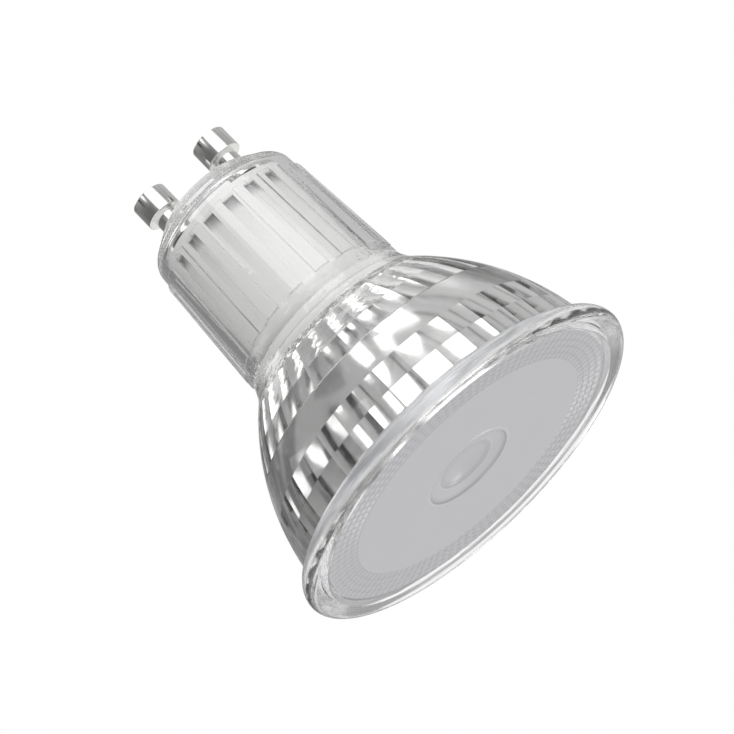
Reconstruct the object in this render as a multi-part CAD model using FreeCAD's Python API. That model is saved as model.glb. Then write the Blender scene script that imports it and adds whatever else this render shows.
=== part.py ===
import FreeCAD, Part
import math
import os

# Spotlight bulb with a two-pin twist-lock base. Millimetres, standing on its front rim: the rim's face is
# at height zero, the axis of the bulb is Z, and the two contact pins point up, side by side along X.

# Overall
RIM_RADIUS = 25.0
BASE_HEIGHT = 48.0
PIN_TIP_HEIGHT = 54.0

# Rolled rim
RIM_CREST_HEIGHT = 1.1
RIM_BACK_RADIUS = 1.3
RIM_BACK_TURN = 65.0
RIM_INNER_BEVEL = 0.5

# Bell, an arc in section, and the flare that takes it into the neck
BELL_START_RADIUS = 22.72
BELL_START_LEAN = 5.6
BELL_ARC_RADIUS = 33.5
FLARE_RADIUS = 8.0

# Neck, with a slight draft, and its raised ribs
NECK_RADIUS = 11.68
NECK_RADIUS_HEIGHT = 28.0
NECK_DRAFT = 0.065
RIB_COUNT = 18
RIB_WIDTH_DEGREES = 10.0
RIB_RISE = 0.31
RIB_FOOT_HEIGHT = 27.2
RIB_TOP_HEIGHT = 42.8
RIB_ROOT = 0.4
FIRST_RIB_DEGREES = 90.0

# Rounded and bevelled end of the base
SHOULDER_HEIGHT = 44.8
SHOULDER_RADIUS = 1.6
BEVEL_LEAN = 52.0
END_WALL = 2.2
END_CORNER_RADIUS = 1.5

# Faceted reflector inside the bell: two rows of facets at the rim, a smooth band, and two rows in the throat
REFLECTOR_WALL = 2.3
LENS_LEDGE = 2.5
RIM_ROWS = (LENS_LEDGE, 6.5, 9.9)
BAND_TOP = 14.25
BAND_STEP = 0.25
THROAT_ROWS = (BAND_TOP, 17.1, 20.8)
FACETS = 36
FIRST_FACET_DEGREES = -1.5
FACET_BULGE = 0.0041

# Seat of the inner assembly and the bore of the neck
SEAT_RADIUS = 10.6
SEAT_HEIGHT = 25.2
BORE_RADIUS = 9.2
BORE_DRAFT = 0.2

# Front lens
LENS_SEAT_RADIUS = 21.8
LENS_RADIUS = 21.6
LENS_FRONT = 0.4
LENS_BACK = 2.25
LENS_EDGE_ROUND = 0.3
PRISM_RING_RADIUS = 17.3
PRISM_RINGS = 4
PRISM_DEPTH = 0.15
DISH_RADIUS = 6.05
DISH_DEPTH = 0.55
DISH_SAG = 0.6
EYE_RADIUS = 3.75
EYE_DEPTH = 0.65
LENS_BOSS_RADIUS = 8.5
LENS_BOSS_HEIGHT = 2.0
BOND_INNER_RADIUS = 20.75

# Contact pins
PIN_SPACING = 10.0
PIN_HEAD_RADIUS = 2.4
PIN_HEAD_LENGTH = 3.2
PIN_CHAMFER = 0.1
PIN_SHANK_RADIUS = 1.55
PIN_COLLAR_RADIUS = 2.0
PIN_COLLAR = 0.4
PIN_HOLE_CLEARANCE = 0.05
RIVET_RADIUS = 1.95
RIVET_LENGTH = 0.6
PIN_STUB_RADIUS = 0.9
PIN_STUB = 0.6
PIN_DIMPLE_RADIUS = 0.9
PIN_DIMPLE_DEPTH = 0.4

# Driver sleeve
SLEEVE_RADIUS = 9.05
SLEEVE_WALL = 1.0
SLEEVE_FOOT = 23.4
SLEEVE_TOP = 44.1
SLEEVE_END_WALL = 0.8
FLANGE_RADIUS = 10.4
SCOOP_FOOT = 40.4
SCOOP_TOP = 42.8
SCOOP_DEPTH = 0.7
RAIL_REACH = 1.3
RAIL_DEPTH = 0.8
SLOT_WIDTH = 1.4
SLOT_LENGTH = 2.2

# Light source and the stack behind it
SPREADER_RADIUS = 10.4
SPREADER_PLATE = 1.5
SPIGOT_RADIUS = 8.0
SPIGOT_LENGTH = 2.0
SPREADER_CUP_RADIUS = 7.0
SPREADER_FLOOR = 1.0
PAD_RADIUS = 9.6
PAD_THICKNESS = 0.3
LED_BOARD_RADIUS = 10.2
LED_BOARD_THICKNESS = 1.2
BOARD_NOTCH_RADIUS = 0.8
LED_TILE_SIDE = 9.0
LED_TILE_THICKNESS = 0.7
LED_DAM_RADIUS = 3.8
LED_DAM_HEIGHT = 0.4
LED_DAM_WALL = 0.5

# Driver board
DRIVER_HALF_WIDTH = 7.7
DRIVER_TAB_HALF_WIDTH = 3.8
DRIVER_THICKNESS = 1.0
DRIVER_FOOT = 26.2
DRIVER_SHOULDER = 42.2

# Wires
WIRE_RADIUS = 0.35
WIRE_HOLE_RADIUS = 0.6
LED_WIRE_X = 5.7
WIRE_GAP = 0.02
PIN_WIRE_BEND = 0.8
PIN_WIRE_END = 40.2
LED_WIRE_TOP = 28.6
SOLDER_RADIUS = 0.9
SOLDER_HEIGHT = 0.5

# Components on the front of the driver board
LEG_RADIUS = 0.25
CAN_RADIUS = 3.0
CAN_LENGTH = 10.0
CAN_FOOT = 28.0
CAN_X = 2.4
CAN_GROOVE_HEIGHT = 1.6
CAN_GROOVE_DEPTH = 0.3
CAN_BEVEL = 0.4
CAN_LEG_SPACING = 2.5
CAN_LEG_DROP = 1.0
FILM_SIZE = (4.0, 2.6, 4.5)
FILM_X = -3.4
FILM_HEIGHT = 31.6
FILM_EDGE_ROUND = 0.35
RESISTOR_X = -4.0
RESISTOR_FOOT = 35.6
RESISTOR_LENGTH = 4.6
RESISTOR_RADIUS = 1.2
RESISTOR_WAIST_RADIUS = 1.0
RESISTOR_END_BEVEL = 0.4
RESISTOR_END_LENGTH = 1.1
RESISTOR_TAPER = 0.3
RESISTOR_LEG_DROP = 0.6

# Components on the back of the driver board
PACKAGE_STAND_OFF = 0.15
PACKAGE_DRAFT = 0.15
LEAD_WIDTH = 0.45
LEAD_THICKNESS = 0.2
LEAD_REACH = 0.6
LEAD_ROOT = 0.3
BRIDGE = {"x": 0.0, "z": 38.6, "half_width": 1.9, "half_height": 2.3, "thickness": 2.3,
          "rows": 2, "pitch": 2.5}
CHIP = {"x": 4.6, "z": 33.6, "half_width": 1.4, "half_height": 2.45, "thickness": 1.4,
        "rows": 4, "pitch": 1.27}
CHOKE_HEIGHT = 31.0
CHOKE_RADIUS = 2.55
CHOKE_LENGTH = 6.0
CHOKE_FLANGE = 0.9
CHOKE_CORE_RADIUS = 1.2
CHOKE_WINDING_RADIUS = 2.35
CERAMIC_SIZE = (2.0, 1.0, 1.25)
CERAMIC_PLACES = ((-5.0, 30.0), (-5.0, 32.4), (5.0, 37.6))
CHIP_RESISTOR_SIZE = (3.0, 0.55, 1.5)
CHIP_RESISTOR_PLACES = ((-4.6, 35.0), (-4.6, 37.2), (4.6, 29.0), (0.0, 27.2))

UP = FreeCAD.Vector(0, 0, 1)
ORIGIN = FreeCAD.Vector(0, 0, 0)
FULL_TURN = 360.0

BOARD_FRONT = -DRIVER_THICKNESS / 2
BOARD_BACK = DRIVER_THICKNESS / 2
SPREADER_FRONT = SLEEVE_FOOT - SPREADER_PLATE
PAD_FRONT = SPREADER_FRONT - PAD_THICKNESS
LED_BOARD_FRONT = PAD_FRONT - LED_BOARD_THICKNESS
SLEEVE_BORE = SLEEVE_RADIUS - SLEEVE_WALL
LED_WIRE_Y = BOARD_FRONT - WIRE_RADIUS - WIRE_GAP
PIN_WIRE_Y = BOARD_BACK + WIRE_RADIUS + WIRE_GAP
INNER_END = BASE_HEIGHT - END_WALL


def at(radius, height):
    """A point of a section drawn in the XZ plane."""
    return FreeCAD.Vector(radius, 0, height)


def on_arc(centre, radius, degrees):
    """A point of a circle in the XZ plane, with zero degrees along +X."""
    turn = math.radians(degrees)
    return centre + FreeCAD.Vector(radius * math.cos(turn), 0, radius * math.sin(turn))


def line(start, end):
    return Part.LineSegment(start, end).toShape()


def lines(points):
    return [line(start, end) for start, end in zip(points, points[1:])]


def arc(centre, radius, start_degrees, end_degrees):
    """An arc in the XZ plane, from one angle to the other the short way."""
    middle = (start_degrees + end_degrees) / 2
    through = [on_arc(centre, radius, turn) for turn in (start_degrees, middle, end_degrees)]
    return Part.Arc(*through).toShape()


def cap_arc(radius, foot, top):
    """Half the section of a spherical cap on the axis, from its edge up to its top."""
    rise = top - foot
    sphere = (radius ** 2 + rise ** 2) / (2 * rise)
    half = math.degrees(math.asin(radius / sphere))
    return arc(at(0, top - sphere), sphere, 90 - half, 90)


def revolve(edges, degrees=FULL_TURN):
    """A solid of revolution about Z from the closed section that the edges make."""
    section = Part.Face(Part.Wire(edges))
    return section.revolve(ORIGIN, UP, degrees)


def turned(points):
    """A solid of revolution about Z from a section of straight lines."""
    return revolve(lines(points + points[:1]))


def moved(shape, x, y, z):
    copy = shape.copy()
    copy.translate(FreeCAD.Vector(x, y, z))
    return copy


def box(low, high):
    size = [high[axis] - low[axis] for axis in range(3)]
    return Part.makeBox(*size, FreeCAD.Vector(*low))


def rod(radius, start, end):
    """A round bar from one point to another."""
    first = FreeCAD.Vector(*start)
    run = FreeCAD.Vector(*end) - first
    return Part.makeCylinder(radius, run.Length, first, run)


def joined(shapes):
    return shapes[0].multiFuse(shapes[1:]).removeSplitter()


def around(shape, count):
    """Copies of a shape, evenly spaced about Z."""
    copies = []
    for index in range(count):
        copy = shape.copy()
        copy.rotate(ORIGIN, UP, index * FULL_TURN / count)
        copies.append(copy)
    return copies


def neck_radius(height):
    return NECK_RADIUS - NECK_DRAFT * (height - NECK_RADIUS_HEIGHT)


def bell_centre():
    """Centre of the bell's arc, from where the arc starts behind the rim and how it leans there."""
    start = bell_start()
    return on_arc(start, -BELL_ARC_RADIUS, BELL_START_LEAN)


def bell_start():
    """Foot of the slope behind the rim, where the bell begins."""
    slope_top = rim_back_end()
    fall = (slope_top.x - BELL_START_RADIUS) / math.tan(math.radians(RIM_BACK_TURN))
    return at(BELL_START_RADIUS, slope_top.z + fall)


def rim_back_centre():
    return at(RIM_RADIUS - RIM_BACK_RADIUS, RIM_CREST_HEIGHT)


def rim_back_end():
    return on_arc(rim_back_centre(), RIM_BACK_RADIUS, RIM_BACK_TURN)


def flare_centre():
    """Centre of the flare's arc, which touches the bell's arc and the neck's line."""
    bell = bell_centre()
    stretch = math.hypot(1, NECK_DRAFT)
    reach = neck_radius(0) + FLARE_RADIUS * stretch - bell.x
    a = 1 + NECK_DRAFT ** 2
    b = -2 * (NECK_DRAFT * reach + bell.z)
    c = reach ** 2 + bell.z ** 2 - (BELL_ARC_RADIUS + FLARE_RADIUS) ** 2
    height = (-b + math.sqrt(b * b - 4 * a * c)) / (2 * a)
    return at(bell.x + reach - NECK_DRAFT * height, height)


def reflector_radius(height):
    """Radius of the reflector's facet corners: the bell's arc, less the thickness of the glass."""
    bell = bell_centre()
    return bell.x + math.sqrt((BELL_ARC_RADIUS - REFLECTOR_WALL) ** 2 - (height - bell.z) ** 2)


def outer_section():
    """Outside of the glass, from the lens seat over the rim, bell, neck and shoulder to the axis."""
    crest = rim_back_centre()
    front_centre = at(RIM_RADIUS - RIM_CREST_HEIGHT, RIM_CREST_HEIGHT)
    bell = bell_centre()
    flare = flare_centre()
    bell_end_turn = math.degrees(math.atan2(flare.z - bell.z, flare.x - bell.x))
    neck_turn = 180 + math.degrees(math.atan(NECK_DRAFT))
    neck_foot = on_arc(flare, FLARE_RADIUS, neck_turn)
    shoulder_turn = math.degrees(math.atan(NECK_DRAFT))
    shoulder_foot = at(neck_radius(SHOULDER_HEIGHT), SHOULDER_HEIGHT)
    shoulder = on_arc(shoulder_foot, -SHOULDER_RADIUS, shoulder_turn)
    bevel_foot = on_arc(shoulder, SHOULDER_RADIUS, BEVEL_LEAN)
    bevel_run = (BASE_HEIGHT - bevel_foot.z) * math.tan(math.radians(BEVEL_LEAN))
    bevel_top = at(bevel_foot.x - bevel_run, BASE_HEIGHT)
    rim_inner = at(LENS_SEAT_RADIUS + RIM_INNER_BEVEL, 0)
    return [
        line(at(LENS_SEAT_RADIUS, RIM_INNER_BEVEL), rim_inner),
        line(rim_inner, at(front_centre.x, 0)),
        arc(front_centre, RIM_CREST_HEIGHT, -90, 0),
        arc(crest, RIM_BACK_RADIUS, 0, RIM_BACK_TURN),
        line(rim_back_end(), bell_start()),
        arc(bell, BELL_ARC_RADIUS, BELL_START_LEAN, bell_end_turn),
        arc(flare, FLARE_RADIUS, 180 + bell_end_turn, neck_turn),
        line(neck_foot, shoulder_foot),
        arc(shoulder, SHOULDER_RADIUS, shoulder_turn, BEVEL_LEAN),
        line(bevel_foot, bevel_top),
        line(bevel_top, at(0, BASE_HEIGHT)),
    ]


def glass_blank():
    """The glass with its outer form, its lens seat and its neck bore, before the reflector is pressed."""
    corner = at(BORE_RADIUS - END_CORNER_RADIUS, INNER_END - END_CORNER_RADIUS)
    bore = [
        line(at(0, INNER_END), at(corner.x, INNER_END)),
        arc(corner, END_CORNER_RADIUS, 90, 0),
    ]
    bore += lines([
        at(BORE_RADIUS, corner.z),
        at(BORE_RADIUS + BORE_DRAFT, SEAT_HEIGHT),
        at(SEAT_RADIUS, SEAT_HEIGHT),
        at(SEAT_RADIUS, LENS_LEDGE),
        at(LENS_SEAT_RADIUS, LENS_LEDGE),
        at(LENS_SEAT_RADIUS, RIM_INNER_BEVEL),
    ])
    closing = line(at(0, BASE_HEIGHT), at(0, INNER_END))
    return revolve(outer_section() + [closing] + bore)


def facet_ring(height):
    """A ring about Z of one arc for each facet, which bulges towards the axis."""
    radius = reflector_radius(height)
    pitch = 2 * math.pi / FACETS
    waist = radius * (math.cos(pitch / 2) - FACET_BULGE)

    def on_ring(reach, turn):
        return FreeCAD.Vector(reach * math.cos(turn), reach * math.sin(turn), height)

    arcs = []
    for index in range(FACETS):
        start = math.radians(FIRST_FACET_DEGREES) + index * pitch
        through = (on_ring(radius, start), on_ring(waist, start + pitch / 2), on_ring(radius, start + pitch))
        arcs.append(Part.Arc(*through).toShape())
    return Part.Wire(arcs)


def facet_rows(heights):
    """Rows of pillowed facets, as the solid that they enclose."""
    return joined([Part.makeLoft([facet_ring(low), facet_ring(high)], True, True)
                   for low, high in zip(heights, heights[1:])])


def smooth_band():
    """The band between the rows of facets, which stands in by a small step, as the solid that it encloses."""
    bell = bell_centre()
    foot = RIM_ROWS[-1]
    arc_radius = BELL_ARC_RADIUS - REFLECTOR_WALL - BAND_STEP
    turns = [math.degrees(math.asin((height - bell.z) / arc_radius)) for height in (foot, BAND_TOP)]
    corners = [on_arc(bell, arc_radius, turn) for turn in turns]
    return revolve([
        line(at(0, foot), corners[0]),
        arc(bell, arc_radius, *turns),
        line(corners[1], at(0, BAND_TOP)),
        line(at(0, BAND_TOP), at(0, foot)),
    ])


def neck_rib():
    """One raised rib of the neck, from its foot above the flare to its top below the shoulder."""
    section = [
        at(neck_radius(RIB_FOOT_HEIGHT) - RIB_ROOT, RIB_FOOT_HEIGHT),
        at(neck_radius(RIB_FOOT_HEIGHT) + RIB_RISE, RIB_FOOT_HEIGHT),
        at(neck_radius(RIB_TOP_HEIGHT) + RIB_RISE, RIB_TOP_HEIGHT),
        at(neck_radius(RIB_TOP_HEIGHT) - RIB_ROOT, RIB_TOP_HEIGHT),
    ]
    rib = revolve(lines(section + section[:1]), RIB_WIDTH_DEGREES)
    rib.rotate(ORIGIN, UP, FIRST_RIB_DEGREES - RIB_WIDTH_DEGREES / 2)
    return rib


def glass_body():
    """Pressed glass: rim, bell with the faceted reflector inside, ribbed neck and bevelled end."""
    cavity = joined([facet_rows(RIM_ROWS), smooth_band(), facet_rows(THROAT_ROWS)])
    hole_radius = PIN_SHANK_RADIUS + PIN_HOLE_CLEARANCE
    holes = [rod(hole_radius, (x, 0, INNER_END), (x, 0, BASE_HEIGHT)) for x in pin_places()]
    pressed = glass_blank().cut(cavity).cut(Part.makeCompound(holes))
    return joined([pressed] + around(neck_rib(), RIB_COUNT))


def front_lens():
    """Lens disc: flat front, ring of prisms near the edge, and a dish with a hollow eye in the middle."""
    dish_floor = LENS_FRONT + DISH_DEPTH
    eye_floor = dish_floor + EYE_DEPTH
    boss_top = LENS_BACK + LENS_BOSS_HEIGHT
    dish_middle = at((DISH_RADIUS + EYE_RADIUS) / 2, LENS_FRONT + DISH_SAG * DISH_DEPTH)
    pitch = (LENS_RADIUS - LENS_EDGE_ROUND - PRISM_RING_RADIUS) / PRISM_RINGS
    prisms = [at(DISH_RADIUS, LENS_FRONT), at(PRISM_RING_RADIUS, LENS_FRONT)]
    for ring in range(PRISM_RINGS):
        inner = PRISM_RING_RADIUS + ring * pitch
        prisms.append(at(inner + pitch / 2, LENS_FRONT + PRISM_DEPTH))
        prisms.append(at(inner + pitch, LENS_FRONT))
    rim = at(LENS_RADIUS - LENS_EDGE_ROUND, LENS_FRONT + LENS_EDGE_ROUND)
    edges = [
        cap_arc(EYE_RADIUS, dish_floor, eye_floor),
        Part.Arc(at(EYE_RADIUS, dish_floor), dish_middle, prisms[0]).toShape(),
    ]
    edges += lines(prisms)
    edges.append(arc(rim, LENS_EDGE_ROUND, -90, 0))
    edges += lines([at(LENS_RADIUS, rim.z), at(LENS_RADIUS, LENS_BACK), at(LENS_BOSS_RADIUS, LENS_BACK)])
    edges.append(cap_arc(LENS_BOSS_RADIUS, LENS_BACK, boss_top))
    edges.append(line(at(0, boss_top), at(0, eye_floor)))
    return revolve(edges)


def lens_bond():
    """Silicone bead between the back of the lens and its ledge in the glass."""
    return turned([
        at(BOND_INNER_RADIUS, LENS_BACK),
        at(LENS_RADIUS, LENS_BACK),
        at(LENS_RADIUS, LENS_LEDGE),
        at(BOND_INNER_RADIUS, LENS_LEDGE),
    ])


def pin_places():
    return (PIN_SPACING / 2, -PIN_SPACING / 2)


def contact_pin():
    """Turned pin: dimpled head, shank, collar on the glass, and an end riveted over inside."""
    head_foot = PIN_TIP_HEIGHT - PIN_HEAD_LENGTH
    rivet_foot = INNER_END - RIVET_LENGTH
    stub_foot = rivet_foot - PIN_STUB
    return turned([
        at(0, stub_foot),
        at(PIN_STUB_RADIUS, stub_foot),
        at(PIN_STUB_RADIUS, rivet_foot),
        at(RIVET_RADIUS - RIVET_LENGTH / 2, rivet_foot),
        at(RIVET_RADIUS, INNER_END - RIVET_LENGTH / 2),
        at(RIVET_RADIUS, INNER_END),
        at(PIN_SHANK_RADIUS, INNER_END),
        at(PIN_SHANK_RADIUS, BASE_HEIGHT),
        at(PIN_COLLAR_RADIUS, BASE_HEIGHT),
        at(PIN_COLLAR_RADIUS, BASE_HEIGHT + PIN_COLLAR),
        at(PIN_SHANK_RADIUS, BASE_HEIGHT + PIN_COLLAR),
        at(PIN_SHANK_RADIUS, head_foot),
        at(PIN_HEAD_RADIUS - PIN_CHAMFER, head_foot),
        at(PIN_HEAD_RADIUS, head_foot + PIN_CHAMFER),
        at(PIN_HEAD_RADIUS, PIN_TIP_HEIGHT - PIN_CHAMFER),
        at(PIN_HEAD_RADIUS - PIN_CHAMFER, PIN_TIP_HEIGHT),
        at(PIN_DIMPLE_RADIUS, PIN_TIP_HEIGHT),
        at(0, PIN_TIP_HEIGHT - PIN_DIMPLE_DEPTH),
    ])


def driver_sleeve():
    """White moulded sleeve: flange at the foot, scoops near the top, board rails and an end wall."""
    ceiling = SLEEVE_TOP - SLEEVE_END_WALL
    shell = turned([
        at(SLEEVE_BORE, SLEEVE_FOOT),
        at(FLANGE_RADIUS, SLEEVE_FOOT),
        at(FLANGE_RADIUS, SEAT_HEIGHT),
        at(SLEEVE_RADIUS, SEAT_HEIGHT),
        at(SLEEVE_RADIUS, SLEEVE_TOP),
        at(0, SLEEVE_TOP),
        at(0, ceiling),
        at(SLEEVE_BORE, ceiling),
    ])
    scoop_section = [
        at(SLEEVE_RADIUS, SCOOP_FOOT),
        at(SLEEVE_RADIUS + SLEEVE_WALL, SCOOP_FOOT),
        at(SLEEVE_RADIUS + SLEEVE_WALL, SCOOP_TOP),
        at(SLEEVE_RADIUS - SCOOP_DEPTH, SCOOP_TOP),
    ]
    scoop = revolve(lines(scoop_section + scoop_section[:1]), RIB_WIDTH_DEGREES)
    gap_middle = FIRST_RIB_DEGREES + FULL_TURN / RIB_COUNT / 2
    scoop.rotate(ORIGIN, UP, gap_middle - RIB_WIDTH_DEGREES / 2)
    slots = []
    rails = []
    rail_out = SLEEVE_BORE + SLEEVE_WALL / 2
    rail_in = SLEEVE_BORE - RAIL_REACH
    rail_foot = DRIVER_FOOT + DRIVER_THICKNESS
    for side in (1, -1):
        x = side * PIN_SPACING / 2
        slots.append(box((x - SLOT_WIDTH / 2, -SLOT_LENGTH / 3, ceiling),
                         (x + SLOT_WIDTH / 2, SLOT_LENGTH * 2 / 3, SLEEVE_TOP)))
        ends = sorted((side * rail_in, side * rail_out))
        rails.append(box((ends[0], BOARD_BACK, rail_foot), (ends[1], BOARD_BACK + RAIL_DEPTH, ceiling)))
        rails.append(box((ends[0], BOARD_FRONT - RAIL_DEPTH, rail_foot), (ends[1], BOARD_FRONT, ceiling)))
    cuts = around(scoop, RIB_COUNT) + slots
    return joined([shell] + rails).cut(Part.makeCompound(cuts))


def led_wire_holes(low, high):
    """The two holes that let the wires through the stack behind the light source."""
    places = (LED_WIRE_X, -LED_WIRE_X)
    return [rod(WIRE_HOLE_RADIUS, (x, LED_WIRE_Y, low), (x, LED_WIRE_Y, high)) for x in places]


def heat_spreader():
    """Turned aluminium cup, centred in the sleeve by its spigot."""
    spigot_top = SLEEVE_FOOT + SPIGOT_LENGTH
    cup_floor = SPREADER_FRONT + SPREADER_FLOOR
    cup = turned([
        at(0, SPREADER_FRONT),
        at(SPREADER_RADIUS, SPREADER_FRONT),
        at(SPREADER_RADIUS, SLEEVE_FOOT),
        at(SPIGOT_RADIUS, SLEEVE_FOOT),
        at(SPIGOT_RADIUS, spigot_top),
        at(SPREADER_CUP_RADIUS, spigot_top),
        at(SPREADER_CUP_RADIUS, cup_floor),
        at(0, cup_floor),
    ])
    return cup.cut(Part.makeCompound(led_wire_holes(SPREADER_FRONT, cup_floor)))


def thermal_pad():
    disc = rod(PAD_RADIUS, (0, 0, PAD_FRONT), (0, 0, SPREADER_FRONT))
    return disc.cut(Part.makeCompound(led_wire_holes(PAD_FRONT, SPREADER_FRONT)))


def led_board():
    """Round metal-core board with two locating notches."""
    disc = rod(LED_BOARD_RADIUS, (0, 0, LED_BOARD_FRONT), (0, 0, PAD_FRONT))
    notches = []
    for side in (1, -1):
        y = side * LED_BOARD_RADIUS
        notches.append(rod(BOARD_NOTCH_RADIUS, (0, y, LED_BOARD_FRONT), (0, y, PAD_FRONT)))
    return disc.cut(Part.makeCompound(notches + led_wire_holes(LED_BOARD_FRONT, PAD_FRONT)))


def cob_led():
    """Light source: a square ceramic tile with a round dam that is filled with phosphor."""
    half = LED_TILE_SIDE / 2
    tile_front = LED_BOARD_FRONT - LED_TILE_THICKNESS
    dam_front = tile_front - LED_DAM_HEIGHT
    fill_front = dam_front + LED_DAM_HEIGHT / 3
    tile = box((-half, -half, tile_front), (half, half, LED_BOARD_FRONT))
    dam = turned([
        at(0, tile_front),
        at(LED_DAM_RADIUS, tile_front),
        at(LED_DAM_RADIUS, dam_front),
        at(LED_DAM_RADIUS - LED_DAM_WALL, dam_front),
        at(LED_DAM_RADIUS - LED_DAM_WALL, fill_front),
        at(0, fill_front),
    ])
    return joined([tile, dam])


def driver_board():
    """Upright board whose edges stand in the sleeve's rails and whose tab meets the end wall."""
    ceiling = SLEEVE_TOP - SLEEVE_END_WALL
    outline = [
        (-DRIVER_HALF_WIDTH, DRIVER_FOOT),
        (DRIVER_HALF_WIDTH, DRIVER_FOOT),
        (DRIVER_HALF_WIDTH, DRIVER_SHOULDER),
        (DRIVER_TAB_HALF_WIDTH, DRIVER_SHOULDER),
        (DRIVER_TAB_HALF_WIDTH, ceiling),
        (-DRIVER_TAB_HALF_WIDTH, ceiling),
        (-DRIVER_TAB_HALF_WIDTH, DRIVER_SHOULDER),
        (-DRIVER_HALF_WIDTH, DRIVER_SHOULDER),
    ]
    corners = [FreeCAD.Vector(x, BOARD_FRONT, z) for x, z in outline]
    face = Part.Face(Part.makePolygon(corners + corners[:1]))
    return face.extrude(FreeCAD.Vector(0, DRIVER_THICKNESS, 0))


def bent_leg(x, y, z_body, z_board):
    """A round leg that leaves a component along Z and turns to the front of the board."""
    down = rod(LEG_RADIUS, (x, y, z_body), (x, y, z_board))
    across = rod(LEG_RADIUS, (x, y - LEG_RADIUS, z_board), (x, BOARD_FRONT, z_board))
    return joined([down, across])


def bulk_capacitor():
    """Electrolytic can with its crimped groove, lying along the board on two bent legs."""
    y = BOARD_FRONT - CAN_RADIUS - WIRE_GAP
    can = turned([
        at(0, 0),
        at(CAN_RADIUS - CAN_BEVEL, 0),
        at(CAN_RADIUS, CAN_BEVEL),
        at(CAN_RADIUS, CAN_GROOVE_HEIGHT - CAN_GROOVE_DEPTH),
        at(CAN_RADIUS - CAN_GROOVE_DEPTH, CAN_GROOVE_HEIGHT),
        at(CAN_RADIUS, CAN_GROOVE_HEIGHT + CAN_GROOVE_DEPTH),
        at(CAN_RADIUS, CAN_LENGTH - CAN_BEVEL),
        at(CAN_RADIUS - CAN_BEVEL, CAN_LENGTH),
        at(0, CAN_LENGTH),
    ])
    places = (CAN_X - CAN_LEG_SPACING / 2, CAN_X + CAN_LEG_SPACING / 2)
    legs = [bent_leg(x, y, CAN_FOOT, CAN_FOOT - CAN_LEG_DROP) for x in places]
    return joined([moved(can, CAN_X, y, CAN_FOOT)] + legs)


def film_capacitor():
    """Boxed capacitor on the front of the board, with rounded edges."""
    width, depth, height = FILM_SIZE
    low = (FILM_X - width / 2, BOARD_FRONT - depth, FILM_HEIGHT - height / 2)
    high = (FILM_X + width / 2, BOARD_FRONT, FILM_HEIGHT + height / 2)
    block = box(low, high)
    free_edges = [edge for edge in block.Edges if edge.BoundBox.YMin < BOARD_FRONT - depth / 2]
    return block.makeFillet(FILM_EDGE_ROUND, free_edges)


def fusible_resistor():
    """Axial resistor with swollen ends, on two bent legs."""
    y = BOARD_FRONT - RESISTOR_RADIUS - WIRE_GAP
    waist = RESISTOR_END_LENGTH + RESISTOR_TAPER
    end_radius = RESISTOR_RADIUS - RESISTOR_END_BEVEL
    half = [
        (0, 0),
        (end_radius, 0),
        (RESISTOR_RADIUS, RESISTOR_END_BEVEL),
        (RESISTOR_RADIUS, RESISTOR_END_LENGTH),
        (RESISTOR_WAIST_RADIUS, waist),
    ]
    lower = [at(radius, height) for radius, height in half]
    upper = [at(radius, RESISTOR_LENGTH - height) for radius, height in reversed(half)]
    top = RESISTOR_FOOT + RESISTOR_LENGTH
    legs = [
        bent_leg(RESISTOR_X, y, RESISTOR_FOOT, RESISTOR_FOOT - RESISTOR_LEG_DROP),
        bent_leg(RESISTOR_X, y, top, top + RESISTOR_LEG_DROP),
    ]
    return joined([moved(turned(lower + upper), RESISTOR_X, y, RESISTOR_FOOT)] + legs)


def package_ring(package, inset, y):
    """Outline of a moulded package at one distance from the board."""
    half_width = package["half_width"] - inset
    half_height = package["half_height"] - inset
    corners = [(-1, -1), (1, -1), (1, 1), (-1, 1), (-1, -1)]
    points = []
    for x, z in corners:
        points.append(FreeCAD.Vector(package["x"] + x * half_width, y, package["z"] + z * half_height))
    return Part.makePolygon(points)


def cranked_lead(package, side, z):
    """One lead: out of the package, down to the board, and a foot on the board."""
    inner = package["x"] + side * (package["half_width"] - LEAD_ROOT)
    elbow = package["x"] + side * (package["half_width"] + LEAD_REACH / 2)
    outer = package["x"] + side * (package["half_width"] + LEAD_REACH)
    knee = BOARD_BACK + PACKAGE_STAND_OFF + package["thickness"] / 3
    post = elbow - side * LEAD_THICKNESS
    runs = [
        (inner, elbow, knee, knee + LEAD_THICKNESS),
        (post, elbow, BOARD_BACK, knee + LEAD_THICKNESS),
        (post, outer, BOARD_BACK, BOARD_BACK + LEAD_THICKNESS),
    ]
    pieces = []
    for start, end, low, high in runs:
        left, right = sorted((start, end))
        pieces.append(box((left, low, z - LEAD_WIDTH / 2), (right, high, z + LEAD_WIDTH / 2)))
    return pieces


def leaded_package(package):
    """Moulded package on the back of the board, with cranked leads along its two sides."""
    front = BOARD_BACK + PACKAGE_STAND_OFF
    back = front + package["thickness"]
    rings = [package_ring(package, 0, front), package_ring(package, PACKAGE_DRAFT, back)]
    shapes = [Part.makeLoft(rings, True, True)]
    for row in range(package["rows"]):
        z = package["z"] + (row - (package["rows"] - 1) / 2) * package["pitch"]
        for side in (1, -1):
            shapes += cranked_lead(package, side, z)
    return joined(shapes)


def choke_bar(radius, low, high):
    """A round bar that stands off the back of the board, on the choke's axis."""
    return rod(radius, (0, BOARD_BACK + low, CHOKE_HEIGHT), (0, BOARD_BACK + high, CHOKE_HEIGHT))


def choke_core():
    """Ferrite drum with a flange at each end."""
    return joined([
        choke_bar(CHOKE_RADIUS, 0, CHOKE_FLANGE),
        choke_bar(CHOKE_CORE_RADIUS, 0, CHOKE_LENGTH),
        choke_bar(CHOKE_RADIUS, CHOKE_LENGTH - CHOKE_FLANGE, CHOKE_LENGTH),
    ])


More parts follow.
